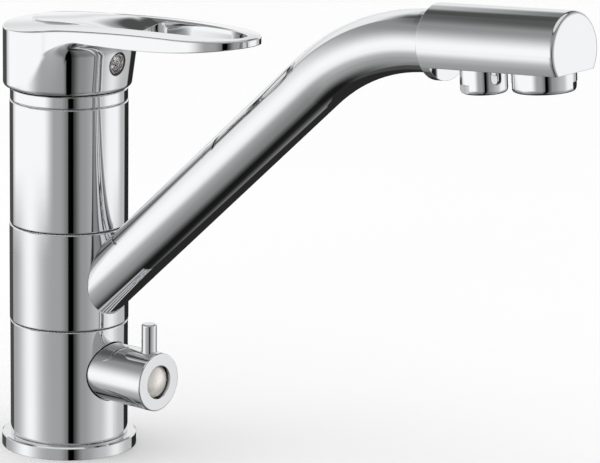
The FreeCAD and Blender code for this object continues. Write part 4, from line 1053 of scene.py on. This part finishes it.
def build_lamp(studio, name, place, power):
    """A large square soft lamp that points at the middle of the tap."""
    light = bpy.data.lights.new(name, "AREA")
    light.energy = power
    light.size = studio.lamp_size
    lamp = bpy.data.objects.new(name, light)
    lamp.location = place
    lamp.rotation_euler = (Vector(LAMP_AIM) - Vector(place)).to_track_quat("-Z", "Y").to_euler()
    lamp.visible_glossy = False
    bpy.context.scene.collection.objects.link(lamp)


def build_camera(view):
    """The camera at the photographed angle."""
    ahead = Vector((math.sin(view.aside) * math.cos(view.down),
                    math.cos(view.aside) * math.cos(view.down), -math.sin(view.down)))
    level_right = Vector((math.cos(view.aside), -math.sin(view.aside), 0.0))
    level_up = level_right.cross(ahead)
    right = math.cos(view.roll) * level_right + math.sin(view.roll) * level_up
    up = math.cos(view.roll) * level_up - math.sin(view.roll) * level_right
    axes = Matrix((right, up, -ahead)).transposed().to_4x4()
    stand = Matrix.Translation((0.0, -view.distance, view.height))
    camera = bpy.data.objects.new("camera", bpy.data.cameras.new("camera"))
    camera.data.sensor_width = 36.0
    camera.data.lens = view.lens
    camera.data.clip_start = 0.05
    camera.data.clip_end = 100.0
    camera.matrix_world = Matrix.Rotation(view.turn, 4, "Z") @ stand @ axes
    bpy.context.scene.collection.objects.link(camera)
    bpy.context.scene.camera = camera


class TAP_OT_build_stage(bpy.types.Operator):
    """Make the floor, the tent of panels, the lamps, the world and the camera"""
    bl_idname = "tap.build_stage"
    bl_label = "Studio"

    def execute(self, context):
        studio = context.scene.tap_studio
        view = context.scene.tap_camera
        build_floor(studio)
        build_tent(studio, view.turn)
        build_world(studio)
        build_lamp(studio, "key_lamp", KEY_LAMP_PLACE, studio.lamp_power)
        build_lamp(studio, "fill_lamp", FILL_LAMP_PLACE, studio.lamp_power / 2)
        build_camera(view)
        context.scene.view_settings.view_transform = "Standard"
        return {"FINISHED"}


# ---- panel and registration ----------------------------------------------------------------------
TAP_OPERATORS = (
    TAP_OT_build_stage, TAP_OT_dress_body, TAP_OT_build_handle, TAP_OT_build_plug, TAP_OT_build_plug_gap_shade,
    TAP_OT_build_cap, TAP_OT_dress_metal, TAP_OT_dress_seals, TAP_OT_dress_caps,
)
TAP_SETTINGS = (TapFinishSettings, TapHandleSettings, TapStudioSettings, TapCameraSettings)


class TAP_PT_panel(bpy.types.Panel):
    """Builds the tap's looks piece by piece"""
    bl_idname = "TAP_PT_panel"
    bl_label = "Kitchen Tap"
    bl_space_type = "VIEW_3D"
    bl_region_type = "UI"
    bl_category = "Kitchen Tap"

    def draw(self, context):
        for operator in TAP_OPERATORS:
            self.layout.operator(operator.bl_idname)
        scene = context.scene
        for group in (scene.tap_finish, scene.tap_handle, scene.tap_studio, scene.tap_camera):
            box = self.layout.box()
            for name in group.bl_rna.properties.keys():
                if name not in ("rna_type", "name"):
                    box.prop(group, name)


def register():
    for cls in TAP_SETTINGS + TAP_OPERATORS + (TAP_PT_panel,):
        bpy.utils.register_class(cls)
    bpy.types.Scene.tap_finish = bpy.props.PointerProperty(type=TapFinishSettings)
    bpy.types.Scene.tap_handle = bpy.props.PointerProperty(type=TapHandleSettings)
    bpy.types.Scene.tap_studio = bpy.props.PointerProperty(type=TapStudioSettings)
    bpy.types.Scene.tap_camera = bpy.props.PointerProperty(type=TapCameraSettings)


def unregister():
    del bpy.types.Scene.tap_camera
    del bpy.types.Scene.tap_studio
    del bpy.types.Scene.tap_handle
    del bpy.types.Scene.tap_finish
    for cls in reversed(TAP_SETTINGS + TAP_OPERATORS + (TAP_PT_panel,)):
        bpy.utils.unregister_class(cls)


def main():
    register()
    for operator in TAP_OPERATORS:
        group, name = operator.bl_idname.split(".")
        getattr(getattr(bpy.ops, group), name)()


if __name__ == "__main__":
    main()
